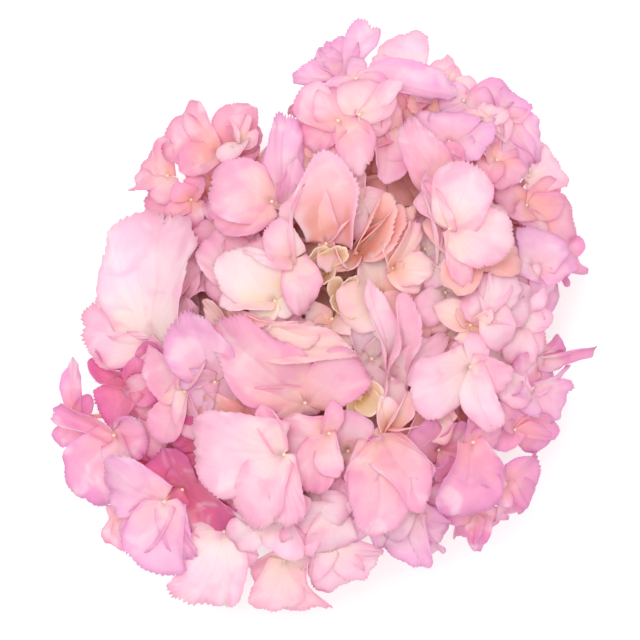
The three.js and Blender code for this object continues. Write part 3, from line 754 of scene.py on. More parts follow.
                # Every other row is set half a step over, and each place strays a little
                x = (column + 0.5 * (row % 2) + 0.4 * (self.draw() - 0.5)) * layer.grid
                y = (row + 0.4 * (self.draw() - 0.5)) * layer.grid
                roll, size = self.draw() * 1.5, 0.85 + 0.3 * self.draw()
                bearing = math.degrees(math.atan2(y, x))
                away = np.hypot(cloud[:, 0] - x, cloud[:, 1] - y)
                near = np.argsort(away)[:5]
                if math.hypot(x, y) > reach_at(bearing) * layer.share or away[near[0]] < layer.least:
                    continue
                if any((floret.eye / MM - Vector((x, y, 0))).xy.length < layer.apart for floret in florets):
                    continue
                # Its height follows the nearest shown sepals, the nearer the more
                height = float(np.average(cloud[near, 2], weights=1 / (away[near] + 0.1))) - layer.drop
                eye = Vector((x, y, height))
                facing = (eye - Vector(self.core)).normalized()
                florets.append(self.facing_floret(spray_at(bearing), eye, facing, roll, layer.length * size))
        return florets


def reach_at(bearing: float) -> float:
    """Give the reach of the head at a bearing in degrees, in millimetres."""
    angles, reaches = zip(*REACH)
    return float(np.interp(bearing % 360, angles, reaches))


def spray_at(bearing: float) -> str:
    """Name the spray whose middle bearing is nearest."""
    return min(FORKS, key=lambda name: abs((bearing - FORKS[name][1] + 540) % 360 - 180))


# Sepals


@dataclass(frozen=True)
class PetalFinish:
    """Thin sepal flesh, soft and matt, that lets light through; its cells give it a faint satin.

    The colours come with each floret. Veins fan out from the foot, and the surface is finely pebbled.
    """

    name: str = "sepal_flesh"
    roughness: float = 0.62
    sheen: float = 0.12
    specular: float = 0.32
    through: float = 0.5
    vein_pairs: float = 9.0
    vein_depth: float = 0.16
    wander_mm: float = 5.0
    pebble_mm: float = 0.9
    cloud_mm: float = 9.0
    patch_mm: float = 11.0
    patch_share: float = 0.65
    pale_share: float = 0.55
    pale: str = "#fdf1f3"

    def material(self) -> bpy.types.Material:
        """Build the material: coats of colour over the foot's, fine relief, and light from behind."""
        made, tree = new_material(self.name)
        facts = {
            key: add_node(tree, "ShaderNodeAttribute", {"attribute_name": key}).outputs
            for key in ("foot", "blade", "rim", "along", "across", "edge")
        }
        along, rim = facts["along"]["Fac"], facts["rim"]["Color"]
        place = add_node(tree, "ShaderNodeTexCoord").outputs["Object"]
        cloud = add_node(
            tree,
            "ShaderNodeTexNoise",
            inputs={"Vector": place, "Scale": 1 / (self.cloud_mm * MM), "Detail": 3.0, "Roughness": 0.55},
        ).outputs["Fac"]
        patches = add_node(
            tree,
            "ShaderNodeTexNoise",
            inputs={"Vector": place, "Scale": 1 / (self.patch_mm * MM), "Detail": 2.0, "Distortion": 0.6},
        ).outputs["Fac"]
        veins = self.veins(tree, facts["across"]["Fac"], along, place)
        coats = []
        for value, low, high, share, colour in (
            (shifted(tree, along, cloud, 0.5), 0.02, 0.62, 1.0, facts["blade"]["Color"]),
            (shifted(tree, facts["edge"]["Fac"], cloud, 0.45), 0.62, 1.08, 1.0, rim),
            (patches, 0.52, 0.72, self.patch_share, rim),
            (patches, 0.5, 0.3, self.pale_share, (*srgb(self.pale), 1)),
        ):
            fade = add_node(
                tree,
                "ShaderNodeMapRange",
                SMOOTH,
                {"Value": value, "From Min": low, "From Max": high, "To Max": share},
            )
            coats.append((fade.outputs["Result"], colour))
        depth = add_node(tree, "ShaderNodeMath", MULTIPLY, {0: veins, 1: self.vein_depth})
        coats.append((depth.outputs[0], rim))
        flesh = facts["foot"]["Color"]
        for share, colour in coats:
            flesh = add_node(tree, "ShaderNodeMix", COLOURS, {0: share, 6: flesh, 7: colour}).outputs[2]
        pebble = add_node(
            tree, "ShaderNodeTexVoronoi", inputs={"Vector": place, "Scale": 1 / (self.pebble_mm * MM)}
        )
        relief = add_node(
            tree,
            "ShaderNodeMath",
            {"operation": "MULTIPLY_ADD"},
            {0: veins, 1: -1.0, 2: pebble.outputs["Distance"]},
        )
        bump = add_node(
            tree,
            "ShaderNodeBump",
            inputs={"Strength": 0.3, "Distance": 0.06 * MM, "Height": relief.outputs[0]},
        )
        front = add_node(
            tree,
            "ShaderNodeBsdfPrincipled",
            inputs={
                "Base Color": flesh,
                "Roughness": self.roughness,
                "Sheen Weight": self.sheen,
                "Specular IOR Level": self.specular,
                "Normal": bump.outputs[0],
            },
        )
        behind = add_node(tree, "ShaderNodeBsdfTranslucent", inputs={"Color": flesh})
        both = add_node(
            tree,
            "ShaderNodeMixShader",
            inputs={0: self.through, 1: front.outputs[0], 2: behind.outputs[0]},
        )
        add_node(tree, "ShaderNodeOutputMaterial", inputs={"Surface": both.outputs[0]})
        return made

    def veins(self, tree: bpy.types.NodeTree, across: Socket, along: Socket, place: Socket) -> Socket:
        """Draw the midrib and the veins that fan out from the foot.

        Args:
            tree: The material's tree.
            across: Place across the fan of the blade, from -1 to 1.
            along: Place along it, from 0 to 1.
            place: Object coordinates.

        Returns:
            A value that is 1 on a vein and 0 between veins.
        """
        wander = add_node(
            tree,
            "ShaderNodeTexNoise",
            inputs={"Vector": place, "Scale": 1 / (self.wander_mm * MM), "Detail": 2.0},
        ).outputs["Fac"]
        bent = shifted(tree, across, wander, 0.12)
        turn = add_node(tree, "ShaderNodeMath", MULTIPLY, {0: bent, 1: math.pi * self.vein_pairs})
        wave = add_node(tree, "ShaderNodeMath", {"operation": "COSINE"}, {0: turn.outputs[0]})
        lines, fade = (
            add_node(tree, "ShaderNodeMapRange", SMOOTH, {"Value": value, "From Min": low, "From Max": high})
            for value, low, high in ((wave.outputs[0], 0.72, 1.0), (along, 1.05, 0.25))
        )
        drawn = add_node(
            tree, "ShaderNodeMath", MULTIPLY, {0: lines.outputs["Result"], 1: fade.outputs["Result"]}
        )
        return drawn.outputs[0]


@dataclass
class BladeSet:
    """The sepals that the florets are made of: each form in a few seeded variants, in two finenesses.

    Fine and coarse give the steps round the outline and the rows from the foot to the rim. The claw is the
    width at the foot as a share of the widest, and the arc share is how much of the outline the toothed tip
    takes.
    """

    variants: int = 3
    fine: tuple[int, int] = (66, 7)
    coarse: tuple[int, int] = (32, 5)
    claw: float = 0.66
    arc_share: float = 0.7
    teeth: int = 11
    tooth_rise: float = 0.25
    lobe: float = 0.03
    groove: float = 0.012
    row_bias: float = 0.8
    seed: int = 5

    def collection(self) -> bpy.types.Collection:
        """Build every blade, one unit long and wide, in a collection of its own."""
        kept = bpy.data.collections.new("blades")
        for k, (columns, rows) in enumerate((self.fine, self.coarse)):
            for f, form in enumerate(FORMS):
                for v in range(self.variants):
                    number = self.index(form, v, k == 0)
                    mesh = self.blade(f"blade_{number:03d}", form.value, f * 31 + v * 7, columns, rows)
                    kept.objects.link(bpy.data.objects.new(mesh.name, mesh))
        return kept

    def index(self, form: Form, variant: int, shown: bool) -> int:
        """Number a blade by its form, variant and fineness, as its name is sorted."""
        first = 0 if shown else len(FORMS) * self.variants
        return first + FORMS.index(form) * self.variants + variant

    def rim(self, form: Blade, rng: np.random.Generator, columns: int) -> tuple[np.ndarray, np.ndarray]:
        """Follow the outline of a blade from the foot, round the tip and back.

        Args:
            form: The form of the blade.
            rng: Seeded numbers for its teeth.
            columns: Number of steps round the outline.

        Returns:
            Where each point lies round the outline, from -1 to 1, and its x and y.
        """
        # The tip is a squared arc, and the flanks run in from it to the claw
        tau = np.linspace(-1, 1, columns + 1)
        side = np.sign(tau)
        far = np.clip(np.abs(tau) / self.arc_share, 0, 1)
        angle = math.pi / 2 * far
        x = side * 0.5 * np.abs(np.sin(angle)) ** (2 / form.square)
        y = form.widest + (1 - form.widest) * np.abs(np.cos(angle)) ** (2 / form.square)
        near = np.clip((np.abs(tau) - self.arc_share) / (1 - self.arc_share), 0, 1)
        share = 1 - near
        flank = side * 0.5 * (self.claw + (1 - self.claw) * np.sin(math.pi / 2 * share))
        x = np.where(near > 0, flank, x)
        y = np.where(near > 0, form.widest * share, y)
        # A notch or a point in the middle of the tip
        y = y - form.notch * np.exp(-((x / 0.09) ** 2)) * (near == 0)
        y = y + form.point * (np.exp(-((x / 0.12) ** 2)) - 0.4) * (near == 0)
        # Saw teeth, uneven in place and in depth, that end where the flanks do, and wide shallow lobes
        drift = np.interp(tau, np.linspace(-1, 1, 9), rng.uniform(-0.4, 0.4, 9))
        phase = (np.abs(tau) * self.teeth / self.arc_share + drift + 0.15) % 1
        rise = self.tooth_rise
        saw = np.where(phase < rise, 1 - phase / rise, (phase - rise) / (1 - rise))
        saw = saw * np.interp(tau, np.linspace(-1, 1, 15), rng.uniform(0.25, 1.5, 15))
        cut = form.teeth * saw * np.clip(1.6 * (1 - near * 1.5), 0, 1)
        lobes = self.lobe * np.interp(tau, np.linspace(-1, 1, 7), rng.uniform(-1, 1, 7))
        shrink = 1 - cut + lobes * (1 - near)
        return tau, np.stack([x * shrink + form.skew * y**2, y * shrink], 1)

    def blade(self, name: str, form: Blade, seed: int, columns: int, rows: int) -> bpy.types.Mesh:
        """Build one blade as a fan of rows from the foot to the rim, with its relief and facts.

        Args:
            name: Name of the mesh.
            form: The form of the blade.
            seed: Seed of its own small differences.
            columns: Steps round its outline.
            rows: Rows from the foot to the rim.

        Returns:
            The open sheet, foot at the origin, tip up +Y, face +Z.
        """
        rng = np.random.default_rng(self.seed * 1000 + seed)
        tau, rim = self.rim(form, rng, columns)
        depth = (np.arange(1, rows + 1) / rows) ** self.row_bias
        flat = (rim[None, :, :] * depth[:, None, None]).reshape(-1, 2)
        across = np.tile(tau, rows)
        edge = np.repeat(depth, columns + 1)
        flat = np.vstack([[0.0, 0.0], flat])
        across = np.concatenate([[0.0], across])
        edge = np.concatenate([[0.0], edge])
        x, y = flat[:, 0], flat[:, 1]
        lateral = np.abs(x) / 0.5
        # Cupping draws the sides in, waves of two lengths run round the rim, and the midrib is a groove
        pull = 1 - 0.35 * form.cup * lateral**2
        waves = np.sin(across * math.pi * rng.uniform(1.4, 2.8) + rng.uniform(0, 6.3))
        small = np.sin(across * math.pi * rng.uniform(5, 8) + rng.uniform(0, 6.3))
        bow = np.sin(math.pi * np.clip(y, 0, 1))
        height = form.arch * bow + form.cup * lateral**2
        height += form.hook * np.clip(y, 0, 1.1) ** 3
        height += form.ripple * edge**3 * (waves + 0.5 * small * edge**3)
        height -= self.groove * np.exp(-((x / 0.035) ** 2)) * bow
        points = np.stack([x * pull, y, height], 1)
        faces = self.fan(columns, rows)
        mesh = bpy.data.meshes.new(name)
        mesh.from_pydata(points.tolist(), [], faces)
        for key, values in (("across", across), ("edge", edge), ("along", np.clip(y, 0, 1))):
            attribute = mesh.attributes.new(key, "FLOAT", "POINT")
            attribute.data.foreach_set("value", values.astype(np.float32))
        return mesh

    @staticmethod
    def fan(columns: int, rows: int) -> list[tuple[int, ...]]:
        """List the faces of a fan: triangles at the foot, then rows of quads, all facing +Z."""
        step = columns + 1
        faces: list[tuple[int, ...]] = [(0, i + 2, i + 1) for i in range(columns)]
        for row in range(rows - 1):
            for i in range(columns):
                first = 1 + row * step + i
                faces.append((first, first + 1, first + step + 1, first + step))
        return faces


@dataclass
class Sepals:
    """All the sepals of one spray, as one piece of thin blades.

    The ruffle is how far a soft noise moves the rims, and its grain is the size of that noise. No blade
    reaches below the lowest height, where the floor presses it flat.
    """

    thickness_mm: float = 0.3
    ruffle_mm: float = 9.0
    ruffle_grain_mm: float = 19.0
    lowest_mm: float = 0.2
    colour_spread: float = 0.1
    seed: int = 21

    def tree(self) -> bpy.types.NodeTree:
        """Build the tree that sets a blade on every seed point and ruffles its rim."""
        tree, given = new_tree(
            "sepals_on_eyes",
            (
                ("Blades", "NodeSocketCollection"),
                ("Ruffle", "NodeSocketFloat"),
                ("Ruffle scale", "NodeSocketFloat"),
                ("Lowest", "NodeSocketFloat"),
                ("Flesh", "NodeSocketMaterial"),
            ),
        )
        blades = add_node(
            tree,
            "GeometryNodeCollectionInfo",
            inputs={"Collection": given.outputs["Blades"], "Separate Children": True, "Reset Children": True},
        )
        facts = read_facts(
            tree, {"form": "INT", "turn": "QUATERNION", "size": "FLOAT_VECTOR", "edge": "FLOAT"}
        )
        set_out = add_node(
            tree,
            "GeometryNodeInstanceOnPoints",
            inputs={
                "Points": given.outputs["Geometry"],
                "Instance": blades.outputs[0],
                "Pick Instance": True,
                "Instance Index": facts["form"],
                "Rotation": facts["turn"],
                "Scale": facts["size"],
            },
        )
        real = add_node(tree, "GeometryNodeRealizeInstances", inputs={"Geometry": set_out.outputs[0]})
        place = add_node(tree, "GeometryNodeInputPosition").outputs[0]
        noise = add_node(
            tree,
            "ShaderNodeTexNoise",
            inputs={"Vector": place, "Scale": given.outputs["Ruffle scale"], "Detail": 0.0},
        )
        centred = add_node(
            tree,
            "ShaderNodeVectorMath",
            {"operation": "SUBTRACT"},
            {0: noise.outputs["Color"], 1: (0.5, 0.5, 0.5)},
        )
        reach = add_node(tree, "ShaderNodeMath", MULTIPLY, {0: facts["edge"], 1: given.outputs["Ruffle"]})
        shift = add_node(
            tree,
            "ShaderNodeVectorMath",
            {"operation": "SCALE"},
            {0: centred.outputs[0], "Scale": reach.outputs[0]},
        )
        ruffled = add_node(
            tree, "GeometryNodeSetPosition", inputs={"Geometry": real.outputs[0], "Offset": shift.outputs[0]}
        )
        parts = add_node(tree, "ShaderNodeSeparateXYZ", inputs={0: place})
        pressed_z = add_node(
            tree,
            "ShaderNodeMath",
            {"operation": "MAXIMUM"},
            {0: parts.outputs["Z"], 1: given.outputs["Lowest"]},
        )
        pressed_at = add_node(
            tree,
            "ShaderNodeCombineXYZ",
            inputs={"X": parts.outputs["X"], "Y": parts.outputs["Y"], "Z": pressed_z.outputs[0]},
        )
        pressed = add_node(
            tree,
            "GeometryNodeSetPosition",
            inputs={"Geometry": ruffled.outputs[0], "Position": pressed_at.outputs[0]},
        )
        finish_tree(tree, pressed.outputs[0], given.outputs["Flesh"])
        return tree

    def seeds(self, name: str, florets: list[Floret], blades: BladeSet, core: Vector) -> bpy.types.Mesh:
        """Turn the sepals of a spray into seed points.

        Args:
            name: Name of the mesh.
            florets: The florets of the spray.
            blades: The blades to choose from.
            core: The point that shown sepals face away from, in metres.

        Returns:
            Loose points at the eyes, with form, turn, size and colours.
        """
        rng = np.random.default_rng(self.seed)
        places, forms, turns, sizes = [], [], [], []
        colours: dict[str, list[Triple]] = {"foot": [], "blade": [], "rim": []}
        for floret in florets:
            for sepal in floret.sepals:
                turn, length = sepal_turn(floret, sepal, core)
                places.append(floret.eye)
                forms.append(blades.index(sepal.form, int(rng.integers(blades.variants)), floret.shown))
                turns.append(turn)
                sizes.append((sepal.width, length, (length + sepal.width) / 2))
                depth = 1 - self.colour_spread * rng.random()
                for key, colour in colours.items():
                    red, green, blue = srgb(getattr(floret.tone.value, key))
                    colour.append((red, green * depth, blue * (0.5 + 0.5 * depth)))
        facts = {
            "form": ("INT", np.array(forms, np.int32)),
            "turn": ("QUATERNION", np.array(turns, np.float32)),
            "size": ("FLOAT_VECTOR", np.array(sizes, np.float32)),
        }
        for key, colour in colours.items():
            facts[key] = ("FLOAT_VECTOR", np.array(colour, np.float32))
        return seed_points(name, np.array(places), facts)


def sepal_turn(floret: Floret, sepal: Sepal, core: Vector) -> tuple[Quaternion, float]:
    """Turn a blade so that it runs from the eye to the tip and faces out.

    Args:
        floret: The floret that bears it.
        sepal: The sepal.
        core: The point that shown sepals face away from.

    Returns:
        The rotation of a blade that points up +Y and faces +Z, and its length.
    """
    along = sepal.tip - floret.eye
    length = along.length
    along.normalize()
    face = floret.facing.copy() if floret.facing else ((floret.eye + sepal.tip) / 2 - core).normalized()
    face -= along * face.dot(along)
    face.normalize()
    face.rotate(Quaternion(along, sepal.turn))
    side = along.cross(face)
    return Matrix((side, along, face)).transposed().to_quaternion(), length


# Stalks and eyes


@dataclass(frozen=True)
class StalkFinish:
    """Juicy young stalk, pale green at the fork and flushed pink towards the floret, slightly waxy."""

    name: str = "stalk_skin"
    green: str = "#cfd39a"
    pink: str = "#efb3a6"
    roughness: float = 0.5
    blotch_mm: float = 7.0

    def material(self) -> bpy.types.Material:
        """Build the material: green below, flushed pink above, with soft blotches."""
        made, tree = new_material(self.name)
        place = add_node(tree, "ShaderNodeTexCoord").outputs["Object"]
        blotches = add_node(
            tree,
            "ShaderNodeTexNoise",
            inputs={"Vector": place, "Scale": 1 / (self.blotch_mm * MM), "Detail": 3.0},
        ).outputs["Fac"]
        along = add_node(tree, "ShaderNodeAttribute", {"attribute_name": "along"}).outputs["Fac"]
        flush = add_node(
            tree,
            "ShaderNodeMapRange",
            SMOOTH,
            {"Value": shifted(tree, along, blotches, 0.8), "From Min": 0.1, "From Max": 0.8},
        ).outputs["Result"]
        colour = add_node(
            tree, "ShaderNodeMix", COLOURS, {0: flush, 6: (*srgb(self.green), 1), 7: (*srgb(self.pink), 1)}
        )
        bump = add_node(
            tree, "ShaderNodeBump", inputs={"Strength": 0.2, "Distance": 0.1 * MM, "Height": blotches}
        )
        skin = add_node(
            tree,
            "ShaderNodeBsdfPrincipled",
            inputs={"Base Color": colour.outputs[2], "Roughness": self.roughness, "Normal": bump.outputs[0]},
        )
        add_node(tree, "ShaderNodeOutputMaterial", inputs={"Surface": skin.outputs[0]})
        return made


@dataclass
class Stalks:
    """The branch of one spray and the stalk of each of its florets, as tapering tubes.

    The branch leaves the stem at the root. Bow is how far a tube sags outwards, as a share of its length.
    """

    branch_mm: float = 1.8
    stalk_mm: float = 0.75
    root_out_mm: float = 4.4
    root_height_mm: float = 40.0
    bow: float = 0.06
    steps: int = 7
    sides: int = 8
    taper: float = 0.9
    foot_flare: float = 1.25

    def tree(self) -> bpy.types.NodeTree:
        """Build the tree that turns lines into tubes of the radius that each point carries."""
        tree, given = new_tree("stalk_tubes", (("Sides", "NodeSocketInt"), ("Skin", "NodeSocketMaterial")))
        curve = add_node(tree, "GeometryNodeMeshToCurve", inputs={"Mesh": given.outputs["Geometry"]})
        ring = add_node(
            tree,
            "GeometryNodeCurvePrimitiveCircle",
            inputs={"Resolution": given.outputs["Sides"], "Radius": 1.0},
        )
        tube = add_node(
            tree,
            "GeometryNodeCurveToMesh",
            inputs={
                "Curve": curve.outputs[0],
                "Profile Curve": ring.outputs[0],
                "Scale": read_facts(tree, {"thick": "FLOAT"})["thick"],
                "Fill Caps": True,
            },
        )
        finish_tree(tree, tube.outputs[0], given.outputs["Skin"])
        return tree

    def seeds(self, name: str, spray: str, florets: list[Floret]) -> bpy.types.Mesh:
        """Draw the lines of one spray: stem to fork, then fork to each eye, bowed outwards.

        Args:
            name: Name of the mesh.
            spray: Name of the spray.
            florets: Its florets.

        Returns:
            Edges whose points carry their radius and their place along the line.
        """
        fork = Vector(FORKS[spray][0]) * MM
        outward = Vector((fork.x, fork.y, 0)).normalized()
        root = outward * (self.root_out_mm * MM) + Vector((0, 0, self.root_height_mm * MM))
        lines = [(root, fork, self.branch_mm, self.branch_mm * self.taper)]
        for floret in florets:
            foot = fork.lerp(floret.eye, -0.02)
            lines.append((foot, floret.eye, self.stalk_mm * self.foot_flare, self.stalk_mm))
        mesh = bpy.data.meshes.new(name)
        points, edges, thick, along = [], [], [], []
        for start, end, first, last in lines:
            for i in range(self.steps + 1):
                t = i / self.steps
                sag = outward * (self.bow * (end - start).length * math.sin(math.pi * t))
                if i:
                    edges.append((len(points) - 1, len(points)))
                points.append(start.lerp(end, t) + sag)
                thick.append((first + (last - first) * t) * MM)
                along.append(t)
        mesh.from_pydata([tuple(p) for p in points], edges, [])
        for key, values in (("thick", thick), ("along", along)):
            attribute = mesh.attributes.new(key, "FLOAT", "POINT")
            attribute.data.foreach_set("value", np.array(values, np.float32))
        return mesh


@dataclass(frozen=True)
class EyeFinish:
    """Closed fertile bud of waxy cream, darker and warmer in its grooves."""

    name: str = "bud_wax"
    pale: str = "#efcdb6"
    deep: str = "#d3a283"
    roughness: float = 0.42
    grain_mm: float = 0.5

    def material(self) -> bpy.types.Material:
        """Build the material: pale wax, deeper in the grooves, with a fine grain."""
        made, tree = new_material(self.name)
        groove = add_node(tree, "ShaderNodeAttribute", {"attribute_name": "groove"}).outputs["Fac"]
        colour = add_node(
            tree, "ShaderNodeMix", COLOURS, {0: groove, 6: (*srgb(self.pale), 1), 7: (*srgb(self.deep), 1)}
        )
        place = add_node(tree, "ShaderNodeTexCoord").outputs["Object"]
        grain = add_node(
            tree, "ShaderNodeTexNoise", inputs={"Vector": place, "Scale": 1 / (self.grain_mm * MM)}
        ).outputs["Fac"]
        bump = add_node(
            tree, "ShaderNodeBump", inputs={"Strength": 0.25, "Distance": 0.1 * MM, "Height": grain}
        )
        wax = add_node(
            tree,
            "ShaderNodeBsdfPrincipled",
            inputs={"Base Color": colour.outputs[2], "Roughness": self.roughness, "Normal": bump.outputs[0]},
        )
        add_node(tree, "ShaderNodeOutputMaterial", inputs={"Surface": wax.outputs[0]})
        return made


@dataclass
class Eyes:
    """The closed fertile buds at the middles of one spray's florets.

    Sit is how far a bud stands above its floret, and groove how deep its seams are, as shares of its radius.
    """

    radius_mm: float = 0.72
    young_radius_mm: float = 1.5
    sit: float = 0.3
    lobes: int = 4
    groove: float = 0.14
    flatness: float = 0.92

    def bead(self) -> bpy.types.Object:
        """Build one bud of unit radius: a round bead with four grooves that meet on top."""
        shell = bmesh.new()
        bmesh.ops.create_icosphere(shell, subdivisions=3, radius=1.0)
        cuts = []
        for vert in shell.verts:
            x, y, z = vert.co
            turn = math.cos(self.lobes * math.atan2(y, x))
            cut = max(0.0, -turn) ** 3 * min(1.0, math.hypot(x, y) * 1.6) * (0.5 + 0.5 * z)
            vert.co *= 1 - self.groove * cut
            vert.co.z *= self.flatness
            cuts.append(cut)
        mesh = bpy.data.meshes.new("bead")
        shell.to_mesh(mesh)
        shell.free()
        attribute = mesh.attributes.new("groove", "FLOAT", "POINT")
        attribute.data.foreach_set("value", np.array(cuts, np.float32))
        return bpy.data.objects.new("bead", mesh)

    def tree(self) -> bpy.types.NodeTree:
        """Build the tree that sets a bud on every eye."""
        tree, given = new_tree("buds_on_eyes", (("Bead", "NodeSocketObject"), ("Wax", "NodeSocketMaterial")))
        bead = add_node(tree, "GeometryNodeObjectInfo", inputs={"Object": given.outputs["Bead"]})
        facts = read_facts(tree, {"turn": "QUATERNION", "size": "FLOAT"})
        placed = add_node(
            tree,
            "GeometryNodeInstanceOnPoints",
            inputs={
                "Points": given.outputs["Geometry"],
                "Instance": bead.outputs["Geometry"],
                "Rotation": facts["turn"],
                "Scale": facts["size"],
            },
        )
        finish_tree(tree, placed.outputs[0], given.outputs["Wax"])
        return tree

    def seeds(self, name: str, florets: list[Floret], core: Vector) -> bpy.types.Mesh:
        """Turn the eyes of a spray into seed points, a little proud of each floret."""
        places, turns, sizes = [], [], []
        for floret in florets:
            facing = floret.facing or (floret.eye - core).normalized()
            radius = (self.young_radius_mm if floret.tone is Tone.CREAM else self.radius_mm) * MM
            places.append(floret.eye + facing * (radius * self.sit))
            turns.append(facing.to_track_quat("Z", "Y"))
            sizes.append(radius)
        facts = {
            "turn": ("QUATERNION", np.array(turns, np.float32)),
            "size": ("FLOAT", np.array(sizes, np.float32)),
        }
        return seed_points(name, np.array(places), facts)


# Stem


@dataclass(frozen=True)
class BarkFinish:
    """Green half-woody bark with fine ridges along it and pale corky pores; the cut end is white pith."""

    name: str = "green_bark"
    green: str = "#8f9a58"
    brown: str = "#8a6a4a"
    pore: str = "#d9cfae"
    pith: str = "#e9e6c4"
    wood: str = "#b9bf86"
    roughness: float = 0.62
    ridge_mm: float = 0.7
    drawn_out: float = 0.12
    pore_mm: float = 2.6

    def material(self, radius: float) -> bpy.types.Material:
        """Build the material for a stem of this radius in metres."""
        made, tree = new_material(self.name)
        place = add_node(tree, "ShaderNodeTexCoord").outputs["Object"]
        drawn = add_node(
            tree, "ShaderNodeMapping", inputs={"Vector": place, "Scale": (1, 1, self.drawn_out)}
        ).outputs[0]
        ridges = add_node(
            tree,
            "ShaderNodeTexNoise",
            inputs={"Vector": drawn, "Scale": 1 / (self.ridge_mm * MM), "Detail": 4.0},
        ).outputs["Fac"]
        pores = add_node(
            tree, "ShaderNodeTexVoronoi", inputs={"Vector": place, "Scale": 1 / (self.pore_mm * MM)}
        ).outputs["Distance"]
        axis = add_node(tree, "ShaderNodeMapping", inputs={"Vector": place, "Scale": (1, 1, 0)}).outputs[0]
        out = add_node(tree, "ShaderNodeVectorMath", {"operation": "LENGTH"}, {0: axis}).outputs["Value"]
        brown, spot, woody = (
            add_node(
                tree, "ShaderNodeMapRange", SMOOTH, {"Value": value, "From Min": low, "From Max": high}
            ).outputs["Result"]
            for value, low, high in (
                (ridges, 0.42, 0.75),
                (pores, 0.2, 0.1),
                (out, radius * 0.4, radius * 0.6),
            )
        )
        green, bark, pore, pith, wood = (
            (*srgb(code), 1) for code in (self.green, self.brown, self.pore, self.pith, self.wood)
        )
        skin = add_node(tree, "ShaderNodeMix", COLOURS, {0: brown, 6: green, 7: bark}).outputs[2]
        skin = add_node(tree, "ShaderNodeMix", COLOURS, {0: spot, 6: skin, 7: pore}).outputs[2]
        core = add_node(tree, "ShaderNodeMix", COLOURS, {0: woody, 6: pith, 7: wood}).outputs[2]
        cut = add_node(tree, "ShaderNodeAttribute", {"attribute_name": "cut"}).outputs["Fac"]
        colour = add_node(tree, "ShaderNodeMix", COLOURS, {0: cut, 6: skin, 7: core}).outputs[2]
        bump = add_node(
            tree, "ShaderNodeBump", inputs={"Strength": 0.5, "Distance": 0.3 * MM, "Height": ridges}
        )
        surface = add_node(
            tree,
            "ShaderNodeBsdfPrincipled",
            inputs={"Base Color": colour, "Roughness": self.roughness, "Normal": bump.outputs[0]},
        )
        add_node(tree, "ShaderNodeOutputMaterial", inputs={"Surface": surface.outputs[0]})
        return made


@dataclass
class Stem:
    """The short cut stem under the head, swollen at the node that the branches leave from."""

    radius_mm: float = 5.0
    cut_height_mm: float = 2.5
    top_height_mm: float = 44.0
    sides: int = 64
    rows: int = 60
    flute: float = 0.03

    def profile(self) -> list[tuple[float, float, float]]:
        """List radius, height and whether it belongs to the cut, from the middle of the cut to the top."""
        # The cut is flat; above it the stem narrows, swells at the node and closes in a dome
        r, low, high = self.radius_mm, self.cut_height_mm, self.top_height_mm
        rings = [(share * r, low, 1.0) for share in (0.3, 0.6, 0.85, 0.96)]
        heights = [low + 0.25, 24, high - 6, high, high + 1]
        radii = [r, 0.94 * r, 1.12 * r, 0.8 * r, 0.15 * r]
        for z in np.linspace(heights[0], heights[-1], self.rows):
            rings.append((float(np.interp(z, heights, radii)), float(z), 0.0))
        return rings

    def mesh(self) -> bpy.types.Mesh:
        """Build the stem as rings of points, closed at both ends."""
        shell = bmesh.new()
        cut = shell.verts.layers.float.new("cut")
        rings = []
        for radius, height, in_cut in self.profile():
            ring = []
            for i in range(self.sides):
                angle = 2 * math.pi * i / self.sides
                ridge = 1 + self.flute * (math.cos(6 * angle) + 0.4 * math.sin(11 * angle + height)) / 2
                out = radius * ridge * MM
                vert = shell.verts.new((math.cos(angle) * out, math.sin(angle) * out, height * MM))
                vert[cut] = in_cut
                ring.append(vert)
            rings.append(ring)
        for low, high in zip(rings, rings[1:]):
            for i in range(self.sides):
                j = (i + 1) % self.sides
                shell.faces.new((low[i], low[j], high[j], high[i]))
        shell.faces.new(rings[0][::-1])
        shell.faces.new(rings[-1])
        bmesh.ops.recalc_face_normals(shell, faces=shell.faces)
        for face in shell.faces:
            face.smooth = True
        mesh = bpy.data.meshes.new("stem_bark")
        shell.to_mesh(mesh)
        shell.free()
        return mesh

    def build(self) -> bpy.types.Object:
        """Make the stem and dress it."""
        piece = add_object("stem_bark", self.mesh())
        piece.data.materials.append(BarkFinish().material(self.radius_mm * MM))
        ride_and_report(piece, "stem", "stem")
        return piece


# The whole head


